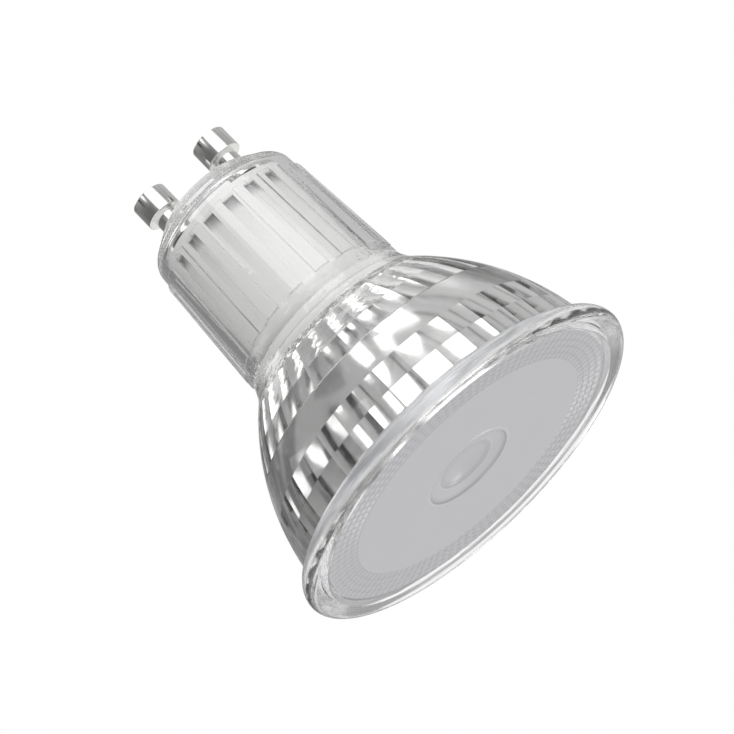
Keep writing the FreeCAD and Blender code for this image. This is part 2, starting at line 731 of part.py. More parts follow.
def choke_winding():
    """Copper winding between the drum's flanges."""
    low = CHOKE_FLANGE
    high = CHOKE_LENGTH - CHOKE_FLANGE
    return choke_bar(CHOKE_WINDING_RADIUS, low, high).cut(choke_bar(CHOKE_CORE_RADIUS, low, high))


def chips(places, size):
    """Small chip components that lie on the back of the board, as separate solids."""
    blocks = []
    for x, z in places:
        low = (x - size[0] / 2, BOARD_BACK, z - size[2] / 2)
        high = (x + size[0] / 2, BOARD_BACK + size[1], z + size[2] / 2)
        blocks.append(box(low, high))
    return Part.makeCompound(blocks)


def pin_lead(x):
    """Wire from the riveted end of a pin, through the sleeve's end wall, to the back of the board."""
    top = INNER_END - RIVET_LENGTH - PIN_STUB
    bend_top = top - WIRE_RADIUS / 2
    turn = math.acos(1 - PIN_WIRE_Y / (2 * PIN_WIRE_BEND))
    half_drop = PIN_WIRE_BEND * math.sin(turn)
    half_side = PIN_WIRE_Y / 2

    def point(y, z):
        return FreeCAD.Vector(x, y, z)

    def bend_point(centre_y, centre_z, degrees):
        angle = math.radians(degrees)
        return point(centre_y + PIN_WIRE_BEND * math.cos(angle), centre_z + PIN_WIRE_BEND * math.sin(angle))

    degrees = math.degrees(turn)
    middle = point(half_side, bend_top - half_drop)
    end = point(PIN_WIRE_Y, bend_top - 2 * half_drop)
    upper = bend_point(PIN_WIRE_BEND, bend_top, 180 + degrees / 2)
    lower = bend_point(PIN_WIRE_Y - PIN_WIRE_BEND, end.z, degrees / 2)
    path = Part.Wire([
        line(point(0, top), point(0, bend_top)),
        Part.Arc(point(0, bend_top), upper, middle).toShape(),
        Part.Arc(middle, lower, end).toShape(),
        line(end, point(PIN_WIRE_Y, PIN_WIRE_END)),
    ])
    section = Part.Wire([Part.makeCircle(WIRE_RADIUS, point(0, top), UP)])
    return path.makePipeShell([section], True, False)


def led_lead(x):
    """Straight wire from the front of the driver board to a solder joint on the light source's board."""
    wire = rod(WIRE_RADIUS, (0, 0, LED_BOARD_FRONT), (0, 0, LED_WIRE_TOP))
    solder = turned([
        at(0, LED_BOARD_FRONT),
        at(SOLDER_RADIUS, LED_BOARD_FRONT),
        at(WIRE_RADIUS, LED_BOARD_FRONT - SOLDER_HEIGHT),
        at(0, LED_BOARD_FRONT - SOLDER_HEIGHT),
    ])
    return moved(joined([wire, solder]), x, LED_WIRE_Y, 0)


def build():
    pin = contact_pin()
    live_x, neutral_x = pin_places()
    return {
        "glass_body": glass_body(),
        "front_lens": front_lens(),
        "lens_bond": lens_bond(),
        "pin_live": moved(pin, live_x, 0, 0),
        "pin_neutral": moved(pin, neutral_x, 0, 0),
        "driver_sleeve": driver_sleeve(),
        "heat_spreader": heat_spreader(),
        "thermal_pad": thermal_pad(),
        "led_board": led_board(),
        "cob_led": cob_led(),
        "driver_board": driver_board(),
        "bulk_capacitor": bulk_capacitor(),
        "film_capacitor": film_capacitor(),
        "fusible_resistor": fusible_resistor(),
        "bridge_rectifier": leaded_package(BRIDGE),
        "driver_chip": leaded_package(CHIP),
        "choke_core": choke_core(),
        "choke_winding": choke_winding(),
        "ceramic_capacitors": chips(CERAMIC_PLACES, CERAMIC_SIZE),
        "chip_resistors": chips(CHIP_RESISTOR_PLACES, CHIP_RESISTOR_SIZE),
        "live_lead": pin_lead(live_x),
        "neutral_lead": pin_lead(neutral_x),
        "led_lead_positive": led_lead(LED_WIRE_X),
        "led_lead_negative": led_lead(-LED_WIRE_X),
    }


os.makedirs("parts", exist_ok=True)
for node, shape in build().items():
    shape.exportStep("parts/" + node + ".step")
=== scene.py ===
import math

import bmesh
import bpy
from bmesh.types import BMFace, BMVert
from bpy.props import FloatProperty, FloatVectorProperty, IntProperty, PointerProperty
from mathutils import Matrix, Vector


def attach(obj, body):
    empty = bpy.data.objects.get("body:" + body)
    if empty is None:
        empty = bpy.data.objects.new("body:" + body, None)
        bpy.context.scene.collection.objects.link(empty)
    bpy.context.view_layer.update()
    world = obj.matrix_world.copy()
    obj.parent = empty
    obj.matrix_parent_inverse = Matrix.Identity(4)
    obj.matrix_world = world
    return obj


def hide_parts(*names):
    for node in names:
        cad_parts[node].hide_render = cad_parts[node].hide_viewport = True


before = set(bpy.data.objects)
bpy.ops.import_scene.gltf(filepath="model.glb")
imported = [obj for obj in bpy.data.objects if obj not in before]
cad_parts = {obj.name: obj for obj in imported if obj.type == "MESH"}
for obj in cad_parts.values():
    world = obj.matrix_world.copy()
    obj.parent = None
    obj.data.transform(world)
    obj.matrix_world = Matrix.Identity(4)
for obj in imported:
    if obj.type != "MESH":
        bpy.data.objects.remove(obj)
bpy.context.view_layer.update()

bl_info = {
    "name": "Spotlight Bulb",
    "version": (1, 0, 0),
    "blender": (4, 5, 0),
    "location": "3D View > Sidebar > Bulb",
    "description": "Dresses the two-pin spotlight bulb: pressed glass, lens, pins, sleeve and stage",
    "category": "Object",
}

UP = (0.0, 0.0, 1.0)
ACROSS = (0.0, 1.0, 0.0)
ORIGIN = (0.0, 0.0, 0.0)
EVEN = (1.0, 1.0, 1.0)
WHITE = (1.0, 1.0, 1.0)
MERGE_DISTANCE = 1e-6


def length(name, description, default):
    return FloatProperty(name=name, description=description, default=default, min=0.0, precision=5,
                         subtype="DISTANCE", unit="LENGTH")


def angle(name, description, degrees):
    return FloatProperty(name=name, description=description, default=math.radians(degrees),
                         subtype="ANGLE", unit="ROTATION")


def count(name, description, default):
    return IntProperty(name=name, description=description, default=default, min=1)


def factor(name, description, default):
    return FloatProperty(name=name, description=description, default=default, min=0.0, max=1.0,
                         subtype="FACTOR")


def colour(name, description, default):
    return FloatVectorProperty(name=name, description=description, default=default, size=3,
                               min=0.0, max=1.0, subtype="COLOR")


class GlassSizes(bpy.types.PropertyGroup):
    """Sizes of the pressed glass body"""
    rim_radius: length("Rim radius", "Outer radius of the rolled rim", 0.025)
    rim_crest: length("Rim crest", "Height of the rim's widest line above its front", 0.0011)
    rim_back: length("Rim back", "Radius of the rim's rounding at the back", 0.0013)
    rim_back_turn: angle("Rim back turn", "How far the rounding at the rim's back turns", 65.0)
    rim_bevel: length("Rim bevel", "Bevel inside the rim, at the lens", 0.0005)
    bell_foot: length("Bell foot", "Radius where the bell starts behind the rim", 0.02272)
    bell_lean: angle("Bell lean", "Lean of the bell where it starts", 5.6)
    bell_arc: length("Bell arc", "Radius of the bell's arc in section", 0.0335)
    flare_arc: length("Flare arc", "Radius of the flare between bell and neck", 0.008)
    neck_radius: length("Neck radius", "Radius of the neck at the reference height", 0.01168)
    neck_reference: length("Neck reference", "Height at which the neck radius is given", 0.028)
    neck_draft: factor("Neck draft", "How much the neck narrows for each unit of height", 0.065)
    rib_count: count("Ribs", "Number of ribs on the neck", 18)
    rib_width: angle("Rib width", "Angle that one rib takes up", 10.0)
    rib_rise: length("Rib rise", "How far a rib stands out of the neck", 0.00031)
    rib_foot: length("Rib foot", "Height of the ribs' lower ends", 0.0272)
    rib_top: length("Rib top", "Height of the ribs' upper ends", 0.0428)
    shoulder_height: length("Shoulder height", "Height where the neck's end starts to round", 0.0448)
    shoulder_round: length("Shoulder round", "Radius of the rounding at the neck's end", 0.0016)
    bevel_lean: angle("End bevel", "Lean of the bevel above the shoulder", 52.0)
    end_height: length("End height", "Height of the flat end", 0.048)
    end_wall: length("End wall", "Thickness of the flat end", 0.0022)
    end_corner: length("End corner", "Rounding inside the end of the bore", 0.0015)
    reflector_wall: length("Reflector wall", "Thickness of the glass between bell and facets", 0.0023)
    facets: count("Facets", "Facets in one row of the reflector", 36)
    first_facet: angle("First facet", "Turn of the first facet's edge about the axis", -1.5)
    facet_bulge: factor("Facet bulge", "Inward bulge of a facet, as a share of its row's radius", 0.0041)
    band_step: length("Band step", "How far the smooth band between the facets stands in", 0.00025)
    seat_radius: length("Seat radius", "Radius of the seat of the inner assembly", 0.0106)
    seat_height: length("Seat height", "Height of the seat's end", 0.0252)
    film_top: length("Film top", "Height at which the mirror film ends", 0.0216)
    bore_radius: length("Bore radius", "Radius of the neck's bore at its end", 0.0092)
    bore_draft: length("Bore draft", "How much wider the bore is at its foot", 0.0002)
    lens_seat: length("Lens seat", "Radius of the recess for the lens", 0.0218)


class LensSizes(bpy.types.PropertyGroup):
    """Sizes of the front lens"""
    radius: length("Radius", "Radius of the lens", 0.0216)
    front: length("Front", "Height of the lens's front face", 0.0004)
    back: length("Back", "Height of the lens's back face", 0.00225)
    edge_round: length("Edge round", "Rounding of the front edge", 0.0003)
    prism_radius: length("Prism radius", "Inner radius of the ring of prisms", 0.0173)
    prism_rows: count("Prism rows", "Rows of prisms in the ring", 4)
    prism_count: count("Prisms", "Prisms in one row", 100)
    prism_depth: length("Prism depth", "Depth of one prism", 0.00015)
    dish_radius: length("Dish radius", "Radius of the dish in the middle", 0.00605)
    dish_depth: length("Dish depth", "Depth of the dish", 0.00055)
    dish_sag: factor("Dish sag", "Share of the depth reached half way in", 0.6)
    eye_radius: length("Eye radius", "Radius of the hollow in the dish", 0.00375)
    eye_depth: length("Eye depth", "Depth of the hollow in the dish", 0.00065)
    bead: length("Bead", "Size of the fine bead along the edges of dish and hollow", 0.00014)
    boss_radius: length("Boss radius", "Radius of the swelling behind", 0.0085)
    boss_height: length("Boss height", "Height of the swelling behind", 0.002)


class PinSizes(bpy.types.PropertyGroup):
    """Sizes of the two contact pins"""
    spacing: length("Spacing", "Distance between the pins", 0.010)
    tip: length("Tip", "Height of the pins' ends", 0.054)
    head_radius: length("Head radius", "Radius of the wide head", 0.0024)
    head_length: length("Head length", "Length of the wide head", 0.0032)
    chamfer: length("Chamfer", "Chamfer on the head's edges", 0.0001)
    shank_radius: length("Shank radius", "Radius of the shank", 0.00155)
    hole_clearance: length("Hole clearance", "Gap between a shank and its hole", 0.00005)
    collar_radius: length("Collar radius", "Radius of the collar on the glass", 0.002)
    collar: length("Collar", "Thickness of the collar", 0.0004)
    rivet_radius: length("Rivet radius", "Radius of the riveted end inside", 0.00195)
    rivet: length("Rivet", "Thickness of the riveted end", 0.0006)
    stub_radius: length("Stub radius", "Radius of the stub that takes the wire", 0.0009)
    stub: length("Stub", "Length of the stub", 0.0006)
    dimple_radius: length("Dimple radius", "Radius of the dimple in the tip", 0.0009)
    dimple_depth: length("Dimple depth", "Depth of the dimple in the tip", 0.0004)
    edge_round: length("Edge round", "Rounding on the turned edges", 0.00004)


class SleeveSizes(bpy.types.PropertyGroup):
    """Sizes of the white sleeve inside the neck"""
    radius: length("Radius", "Outer radius of the sleeve", 0.00905)
    wall: length("Wall", "Wall of the sleeve", 0.001)
    foot: length("Foot", "Height of the flange's foot", 0.0234)
    top: length("Top", "Height of the end wall's outside", 0.0441)
    end_wall: length("End wall", "Thickness of the end wall", 0.0008)
    flange_radius: length("Flange radius", "Radius of the flange", 0.0104)
    flange_top: length("Flange top", "Height of the flange's top", 0.0252)
    scoop_foot: length("Scoop foot", "Height at which a scoop starts", 0.0404)
    scoop_top: length("Scoop top", "Height of a scoop's ledge", 0.0428)
    scoop_depth: length("Scoop depth", "Depth of a scoop at its ledge", 0.0007)


class Finishes(bpy.types.PropertyGroup):
    """Colours of the finishes"""
    glass: colour("Glass", "Tint of the clear glass", (0.985, 0.99, 0.985))
    mirror: colour("Mirror", "Colour of the mirror film", (0.90, 0.90, 0.895))
    lens: colour("Lens", "Colour of the frosted lens", (0.43, 0.43, 0.447))
    plating: colour("Plating", "Colour of the plated pins", (0.88, 0.875, 0.86))
    sleeve: colour("Sleeve", "Colour of the white sleeve", (0.88, 0.88, 0.87))
    # Painted shade: the grey that the sleeve's material paints deep in its scoops.
    shade: colour("Sleeve shade", "Colour deep in the sleeve's scoops", (0.40, 0.40, 0.40))
    # Painted shade: grey on the ribs' flanks that draws dark lines along the ribs' edges.
    flank: colour("Rib flank", "Tint of the duller glass on the ribs' flanks", (0.50, 0.50, 0.50))
    bond: colour("Bond", "Colour of the white bond behind the seat", (0.86, 0.86, 0.85))


class StageSettings(bpy.types.PropertyGroup):
    """Camera and floor of the stage"""
    distance: length("Distance", "Distance of the camera from the rim's middle", 0.8)
    camera_left: length("Camera left", "How far the camera stands to the left of the rim's middle", 0.0123)
    camera_up: length("Camera up", "How far the camera stands above the rim's middle", 0.01212)
    azimuth: angle("Azimuth", "Turn of the camera about the bulb's axis", -0.8)
    elevation: angle("Elevation", "How far the camera looks up at the lens", 20.76)
    roll: angle("Roll", "Turn of the camera about its own axis", -44.3)
    lens_length: FloatProperty(name="Lens length", description="Focal length in millimetres",
                               default=330.2, min=1.0)
    floor_radius: length("Floor radius", "Radius of the floor that takes the shadow", 0.13)


SETTINGS = {
    "bulb_glass": GlassSizes,
    "bulb_lens": LensSizes,
    "bulb_pins": PinSizes,
    "bulb_sleeve": SleeveSizes,
    "bulb_finishes": Finishes,
    "bulb_stage": StageSettings,
}


class Link:
    """An output of a shader node. Arithmetic on it adds Math nodes."""

    def __init__(self, paint, socket):
        self.paint = paint
        self.socket = socket

    def __add__(self, other):
        return self.paint.maths("ADD", self, other)

    def __radd__(self, other):
        return self.paint.maths("ADD", other, self)

    def __sub__(self, other):
        return self.paint.maths("SUBTRACT", self, other)

    def __rsub__(self, other):
        return self.paint.maths("SUBTRACT", other, self)

    def __mul__(self, other):
        return self.paint.maths("MULTIPLY", self, other)

    def __rmul__(self, other):
        return self.paint.maths("MULTIPLY", other, self)

    def __truediv__(self, other):
        return self.paint.maths("DIVIDE", self, other)

    def __rtruediv__(self, other):
        return self.paint.maths("DIVIDE", other, self)

    def __abs__(self):
        return self.paint.maths("ABSOLUTE", self)

    def largest(self, other):
        return self.paint.maths("MAXIMUM", self, other)


class Paint:
    """A node tree that is built node by node."""

    def __init__(self, owner):
        owner.use_nodes = True
        self.tree = owner.node_tree
        self.tree.nodes.clear()

    def node(self, kind, settings=None, sockets=None, output=0):
        made = self.tree.nodes.new(kind)
        for name, value in (settings or {}).items():
            setattr(made, name, value)
        for key, value in (sockets or {}).items():
            if isinstance(value, Link):
                self.tree.links.new(value.socket, made.inputs[key])
            else:
                made.inputs[key].default_value = value
        return Link(self, made.outputs[output])

    def outputs(self, link, *keys):
        """Several outputs of the node that a link comes from."""
        return [Link(self, link.socket.node.outputs[key]) for key in keys]

    def maths(self, operation, *values):
        return self.node("ShaderNodeMath", {"operation": operation}, dict(enumerate(values)))

    def place(self):
        return self.node("ShaderNodeTexCoord", output="Object")

    def parts(self, vector):
        return self.outputs(self.node("ShaderNodeSeparateXYZ", {}, {0: vector}), 0, 1, 2)

    def rays(self, *kinds):
        return self.outputs(self.node("ShaderNodeLightPath"), *kinds)

    def from_axis(self, x, y):
        """Distance from the Z axis."""
        return self.maths("SQRT", x * x + y * y)

    def round_axis(self, times, x, y):
        """A wave that swings so many times in one turn about the Z axis."""
        return self.maths("COSINE", times * self.maths("ARCTAN2", y, x))

    def noise(self, scale, detail=3.0, roughness=0.55, stretch=EVEN):
        where = self.place()
        if stretch != EVEN:
            where = self.node("ShaderNodeMapping", {}, {"Vector": where, "Scale": stretch})
        sockets = {"Vector": where, "Scale": scale, "Detail": detail, "Roughness": roughness}
        return self.node("ShaderNodeTexNoise", {}, sockets)

    def between(self, value, low, high, out_low=0.0, out_high=1.0):
        """A smooth step: out_low where the value is at low, out_high where it is at high."""
        settings = {"interpolation_type": "SMOOTHSTEP"}
        sockets = {"Value": value, "From Min": low, "From Max": high, "To Min": out_low, "To Max": out_high}
        return self.node("ShaderNodeMapRange", settings, sockets)

    def belt(self, value, start, low, high, end):
        """A mask that rises from start to low and falls from high to end."""
        return self.between(value, start, low) * self.between(value, end, high)

    def mix(self, share, first, second):
        return self.node("ShaderNodeMix", {"data_type": "RGBA"}, {0: share, 6: first, 7: second}, output=2)

    def bump(self, height, strength, distance, normal=None):
        sockets = {"Height": height, "Strength": strength, "Distance": distance}
        if normal:
            sockets["Normal"] = normal
        return self.node("ShaderNodeBump", {}, sockets)

    def surface(self, **sockets):
        named = {}
        for name, value in sockets.items():
            named[name.replace("_", " ").title().replace("Ior", "IOR")] = value
        return self.node("ShaderNodeBsdfPrincipled", {}, named)

    def show(self, shader, kind="ShaderNodeOutputMaterial"):
        made = self.tree.nodes.new(kind)
        self.tree.links.new(shader.socket, made.inputs["Surface"])


def opaque(shade, level=1.0):
    """A colour for a socket, darkened or lightened by a factor."""
    return (*[min(1.0, part * level) for part in shade], 1.0)


def new_paint(name):
    material = bpy.data.materials.new(name)
    return material, Paint(material)


GLASS_INDEX = 1.5
GLASS_SHADOW = (0.95, 0.95, 0.95)
PRESS_LINES = 5000.0
PRESS_WANDER = 8.0
RIM_BELT = (0.0001, 0.0004, 0.0035, 0.0045)
BEVEL_START = 0.75
BEVEL_RISE = (-0.0002, 0.0003)
BEVEL_FALL = (-0.0002, -0.00005)
FLARE_FADE = 0.001
FLANK_ALPHA = 0.42


def clear_glass(finishes, glass):
    """Pressed clear glass that lets light through: slightly wavy, with faint smears, fine lines at the rim,
    an uneven flare and a frosted bevel at the end."""
    material, paint = new_paint("clear_glass")
    tint = finishes.glass
    x, y, z = paint.parts(paint.place())
    reach = paint.from_axis(x, y)
    around = {0: PRESS_WANDER * x / reach, 1: PRESS_WANDER * y / reach, 2: PRESS_LINES * z}
    sockets = {
        "Vector": paint.node("ShaderNodeCombineXYZ", {}, around),
        "W": PRESS_LINES * reach,
        "Scale": 1.0,
        "Detail": 2.0,
    }
    press_lines = paint.node("ShaderNodeTexNoise", {"noise_dimensions": "4D"}, sockets)
    at_rim = paint.belt(z, *RIM_BELT)
    bevel_foot = glass.shoulder_height + BEVEL_START * glass.shoulder_round
    rise = [bevel_foot + fade for fade in BEVEL_RISE]
    fall = [glass.end_height + fade for fade in BEVEL_FALL]
    at_bevel = paint.belt(z, *rise, *fall)
    flare_foot = (glass.film_top - FLARE_FADE, glass.film_top)
    flare_top = (glass.rib_foot - FLARE_FADE, glass.rib_foot)
    at_flare = paint.belt(z, *flare_foot, *flare_top)
    frost = paint.noise(2400.0, 4.0, 0.7)
    lumps = paint.noise(700.0, 2.0)
    waves = paint.noise(260.0, 2.0)
    smears = paint.noise(900.0, 4.0, stretch=(1.0, 1.0, 0.3))
    body = paint.mix(smears, opaque(tint), opaque(tint, 0.985))
    body = paint.mix(at_bevel * paint.between(frost, 0.4, 0.65), body, opaque(tint, 0.85))
    body = paint.mix(at_rim * paint.between(press_lines, 0.42, 0.62), body, opaque(tint, 0.84))
    roughness = paint.between(smears, 0.45, 0.8, 0.0, 0.03)
    roughness += at_rim * paint.between(press_lines, 0.35, 0.6, 0.03, 0.18)
    roughness += at_bevel * paint.between(frost, 0.35, 0.6, 0.1, 0.4)
    normal = paint.bump(waves, 0.08, 0.0002)
    normal = paint.bump(lumps * at_flare, 0.5, 0.0003, normal)
    normal = paint.bump(press_lines * at_rim, 0.5, 0.00004, normal)
    pane = paint.surface(base_color=body, roughness=roughness, ior=GLASS_INDEX, transmission_weight=1.0,
                         normal=normal)
    shadow, diffuse = paint.rays("Is Shadow Ray", "Is Diffuse Ray")
    open_air = paint.node("ShaderNodeBsdfTransparent", {}, {"Color": opaque(GLASS_SHADOW)})
    paint.show(paint.node("ShaderNodeMixShader", {}, {0: shadow.largest(diffuse), 1: pane, 2: open_air}))
    return material


def rib_flank(finishes):
    """Partly clear grey on the rough flanks of the ribs: painted shade that draws dark lines along the ribs'
    edges.
    """
    material, paint = new_paint("rib_flank")
    grain = paint.noise(2600.0, 3.0)
    # Painted shade: a partly clear grey instead of clear glass on the flanks.
    paint.show(paint.surface(
        base_color=paint.mix(grain, opaque(finishes.flank), opaque(finishes.flank, 0.9)),
        roughness=paint.between(grain, 0.3, 0.7, 0.5, 0.65),
        alpha=FLANK_ALPHA,
        normal=paint.bump(grain, 0.08, 0.00003),
    ))
    return material


def mirror_film(finishes):
    """Aluminium film on the reflector: bright, faintly mottled and slightly wavy."""
    material, paint = new_paint("mirror_film")
    mottle = paint.noise(420.0, 4.0)
    waves = paint.noise(240.0, 1.0)
    paint.show(paint.surface(
        base_color=paint.mix(mottle, opaque(finishes.mirror), opaque(finishes.mirror, 0.92)),
        metallic=1.0,
        roughness=paint.between(mottle, 0.3, 0.8, 0.07, 0.14),
        normal=paint.bump(waves, 0.06, 0.0002),
    ))
    return material


def frosted_lens(finishes, lens):
    """Frosted grey lens with a fine grain: painted highlights along the edges of its dish, painted shade
    just inside them, painted light and shade on the bars of its prisms' inner row and painted light streaks
    on its outer edge."""
    material, paint = new_paint("frosted_lens")
    x, y = paint.parts(paint.place())[:2]
    reach = paint.from_axis(x, y)
    grain = paint.noise(5200.0, 3.0, 0.7)
    cloud = paint.noise(160.0, 2.0)
    tone = paint.mix(grain, opaque(finishes.lens, 0.95), opaque(finishes.lens, 1.05))
    tone = paint.mix(cloud, tone, opaque(finishes.lens, 1.03))
    # Painted highlight and painted shade: the bars of the prisms' inner row alternate lighter and darker, as
    # the prisms' faces would catch the light.
    in_ring = paint.between(reach, lens.prism_radius - lens.bead, lens.prism_radius + lens.bead)
    in_bar = paint.between(paint.round_axis(lens.prism_count, x, y), -0.7, 0.7)
    painted_bar_shading = paint.mix(in_bar, opaque(finishes.lens, 1.08), opaque(finishes.lens, 0.93))
    tone = paint.mix(in_ring, tone, painted_bar_shading)
    # Painted highlight and painted shade: a pale line just outside the edges of the dish and its hollow, a
    # darker line just inside them.
    for radius in (lens.eye_radius, lens.dish_radius):
        pale = paint.between(abs(reach - (radius + 2 * lens.bead)), 2 * lens.bead, lens.bead)
        dark = paint.between(abs(reach - (radius - 2 * lens.bead)), 3 * lens.bead, lens.bead)
        tone = paint.mix(dark, tone, opaque(finishes.lens, 0.92))
        tone = paint.mix(pale, tone, opaque(finishes.lens, 1.09))
    # Painted light: pale streaks, nearly twice as bright as the lens, on its outer edge where it shows
    # through the rim.
    streaks = paint.noise(1.0, 2.0, stretch=(120.0, 120.0, 5000.0))
    painted_light_streaks = paint.between(streaks, 0.35, 0.6)
    painted_edge_light = paint.mix(painted_light_streaks, opaque(finishes.lens), opaque(finishes.lens, 1.9))
    at_edge = paint.between(reach, lens.radius - lens.bead, lens.radius - lens.bead / 2)
    paint.show(paint.surface(
        base_color=paint.mix(at_edge, tone, painted_edge_light),
        roughness=paint.between(grain, 0.3, 0.7, 0.34, 0.46),
        coat_weight=0.25,
        coat_roughness=0.16,
        normal=paint.bump(grain, 0.12, 0.00006),
    ))
    return material


def plated_pin(finishes):
    """Bright plating over turned metal: fine rings from the tool and a few duller patches."""
    material, paint = new_paint("plated_pin")
    rings = paint.noise(1.0, 2.0, stretch=(60.0, 60.0, 9000.0))
    dull = paint.noise(700.0, 4.0, 0.65)
    paint.show(paint.surface(
        base_color=paint.mix(dull, opaque(finishes.plating), opaque(finishes.plating, 0.86)),
        metallic=1.0,
        roughness=paint.between(dull, 0.3, 0.75, 0.10, 0.24),
        normal=paint.bump(rings, 0.10, 0.00004),
    ))
    return material


def white_moulding(finishes, sleeve, scoops):
    """White satin plastic with faint draw lines, with painted shade in streaks below the scoops and deep in
    them.
    """
    material, paint = new_paint("white_moulding")
    x, y, z = paint.parts(paint.place())
    draw_lines = paint.noise(1.0, 3.0, stretch=(1500.0, 1500.0, 60.0))
    grain = paint.noise(3600.0, 2.0)
    # Painted shade deep in the scoops: the shade colour is mixed in where a scoop sinks in, from its foot up
    # to its ledge.
    sunk = sleeve.radius - paint.from_axis(x, y)
    depth = paint.between(sunk, 0.05 * sleeve.scoop_depth, 0.8 * sleeve.scoop_depth)
    above_foot = paint.between(z, sleeve.scoop_foot - sleeve.wall, sleeve.scoop_foot)
    below_end = paint.between(z, sleeve.scoop_top + sleeve.wall / 2, sleeve.scoop_top + sleeve.wall / 4)
    # Painted shade: streaks in line with the scoops darken the white and fade out downwards below them.
    in_line = paint.between(paint.round_axis(scoops, x, y), -0.2, 0.3)
    painted_shade_below_scoop = paint.between(z, sleeve.scoop_foot - 8 * sleeve.wall, sleeve.scoop_top)
    body = paint.mix(draw_lines, opaque(finishes.sleeve), opaque(finishes.sleeve, 0.94))
    body = paint.mix(in_line * painted_shade_below_scoop * below_end, body, opaque(finishes.sleeve, 0.85))
    paint.show(paint.surface(
        base_color=paint.mix(depth * above_foot * below_end, body, opaque(finishes.shade)),
        roughness=paint.between(grain, 0.3, 0.7, 0.55, 0.7),
        subsurface_weight=0.15,
        subsurface_radius=(0.002, 0.002, 0.002),
        subsurface_scale=0.5,
        normal=paint.bump(grain, 0.08, 0.00005),
    ))
    return material


def plain_finish(name, shade, metallic=0.0, rough=(0.3, 0.6), scale=1800.0, contrast=0.85, stretch=EVEN):
    """A finish for a piece inside the bulb: a colour with a grain that also shows in gloss and relief."""
    material, paint = new_paint(name)
    grain = paint.noise(scale, 4.0, 0.6, stretch)
    paint.show(paint.surface(
        base_color=paint.mix(grain, opaque(shade), opaque(shade, contrast)),
        metallic=metallic,
        roughness=paint.between(grain, 0.3, 0.7, *rough),
        normal=paint.bump(grain, 0.1, 0.00005),
    ))
    return material


def only(kind, parts):
    """The parts of a mesh that are of one kind."""
    return [part for part in parts if isinstance(part, kind)]


def edges_at(verts):
    """The edges at some points, each of them once."""
    return list(dict.fromkeys(edge for vert in verts for edge in vert.link_edges))


def arc_radius(half_width, depth):
    """Radius of an arc that is so deep over a chord of twice the half width."""
    return (half_width ** 2 + depth ** 2) / (2 * depth)


class Section:
    """Half a section of a turned piece, drawn in the XZ plane from one point on."""

    def __init__(self, bm, radius, height):
        self.bm = bm
        self.pen = bm.verts.new((radius, 0.0, height))
        self.drawn = [self.pen]

    def line(self, radius, height):
        self.pen = bmesh.ops.extrude_vert_indiv(self.bm, verts=[self.pen])["verts"][0]
        self.pen.co = (radius, 0.0, height)
        self.drawn.append(self.pen)

    def lines(self, *points):
        for radius, height in points:
            self.line(radius, height)

    def arc(self, centre, turn, steps):
        """Goes round a centre, anticlockwise where the turn is positive."""
        before = set(self.bm.verts)
        pivot = (centre[0], 0.0, centre[1])
        spun = bmesh.ops.spin(self.bm, geom=[self.pen], cent=pivot, axis=ACROSS, angle=-turn, steps=steps)
        self.pen = only(BMVert, spun["geom_last"])[0]
        self.drawn += [vert for vert in self.bm.verts if vert not in before]

    def turn(self, steps, angle=2 * math.pi, start=0.0):
        """Spins the drawn section round the axis from a starting angle and returns the faces."""
        before = set(self.bm.faces)
        bmesh.ops.rotate(self.bm, cent=ORIGIN, matrix=Matrix.Rotation(start, 3, "Z"), verts=self.drawn)
        drawn = self.drawn + edges_at(self.drawn)
        whole = angle == 2 * math.pi
        bmesh.ops.spin(self.bm, geom=drawn, cent=ORIGIN, axis=UP, angle=angle, steps=steps, use_merge=whole)
        return [face for face in self.bm.faces if face not in before]


def repeat_round(bm, times):
    """Repeats a mesh of one sector round the axis until it is whole, and joins the seams."""
    sector = bm.verts[:] + bm.edges[:] + bm.faces[:]
    rest = 2 * math.pi * (times - 1) / times
    bmesh.ops.spin(bm, geom=sector, cent=ORIGIN, axis=UP, angle=rest, steps=times - 1, use_duplicate=True)
    bmesh.ops.remove_doubles(bm, verts=bm.verts, dist=MERGE_DISTANCE)


def lift(bm, faces):
    """Extrudes a patch of faces in place, takes away what it covered and returns the new patch's points."""
    made = bmesh.ops.extrude_face_region(bm, geom=faces)["geom"]
    bmesh.ops.delete(bm, geom=[face for face in faces if face.is_valid], context="FACES")
    return only(BMVert, made)


def smooth(bm):
    for face in bm.faces:
        face.smooth = True


def ring_edges(bm, radius, height, dip=0.0):
    """The edges of a mesh that run round the axis at one height and radius, or dip inwards from it."""
    slack = 2 * MERGE_DISTANCE

    def on_ring(vert):
        reach = math.hypot(vert.co.x, vert.co.y)
        return abs(vert.co.z - height) < slack and radius - dip - slack < reach < radius + slack

    return [edge for edge in bm.edges if all(on_ring(vert) for vert in edge.verts)]


def new_ring(bm, corners, radius, height, centre):
    """A regular polygon about a line parallel to Z, as edges."""
    turn = Matrix.Rotation(math.pi / corners, 4, "Z")
    shift = Matrix.Translation((centre, 0.0, height))
    made = bmesh.ops.create_circle(bm, segments=corners, radius=radius, matrix=shift @ turn)
    return edges_at(made["verts"])


def flat_ring(bm, *loops):
    """Fills the flat area between an outer loop and the loops inside it."""
    edges = [edge for loop in loops for edge in loop]
    made = bmesh.ops.triangle_fill(bm, use_beauty=True, use_dissolve=False, edges=edges)
    return only(BMFace, made["geom"])


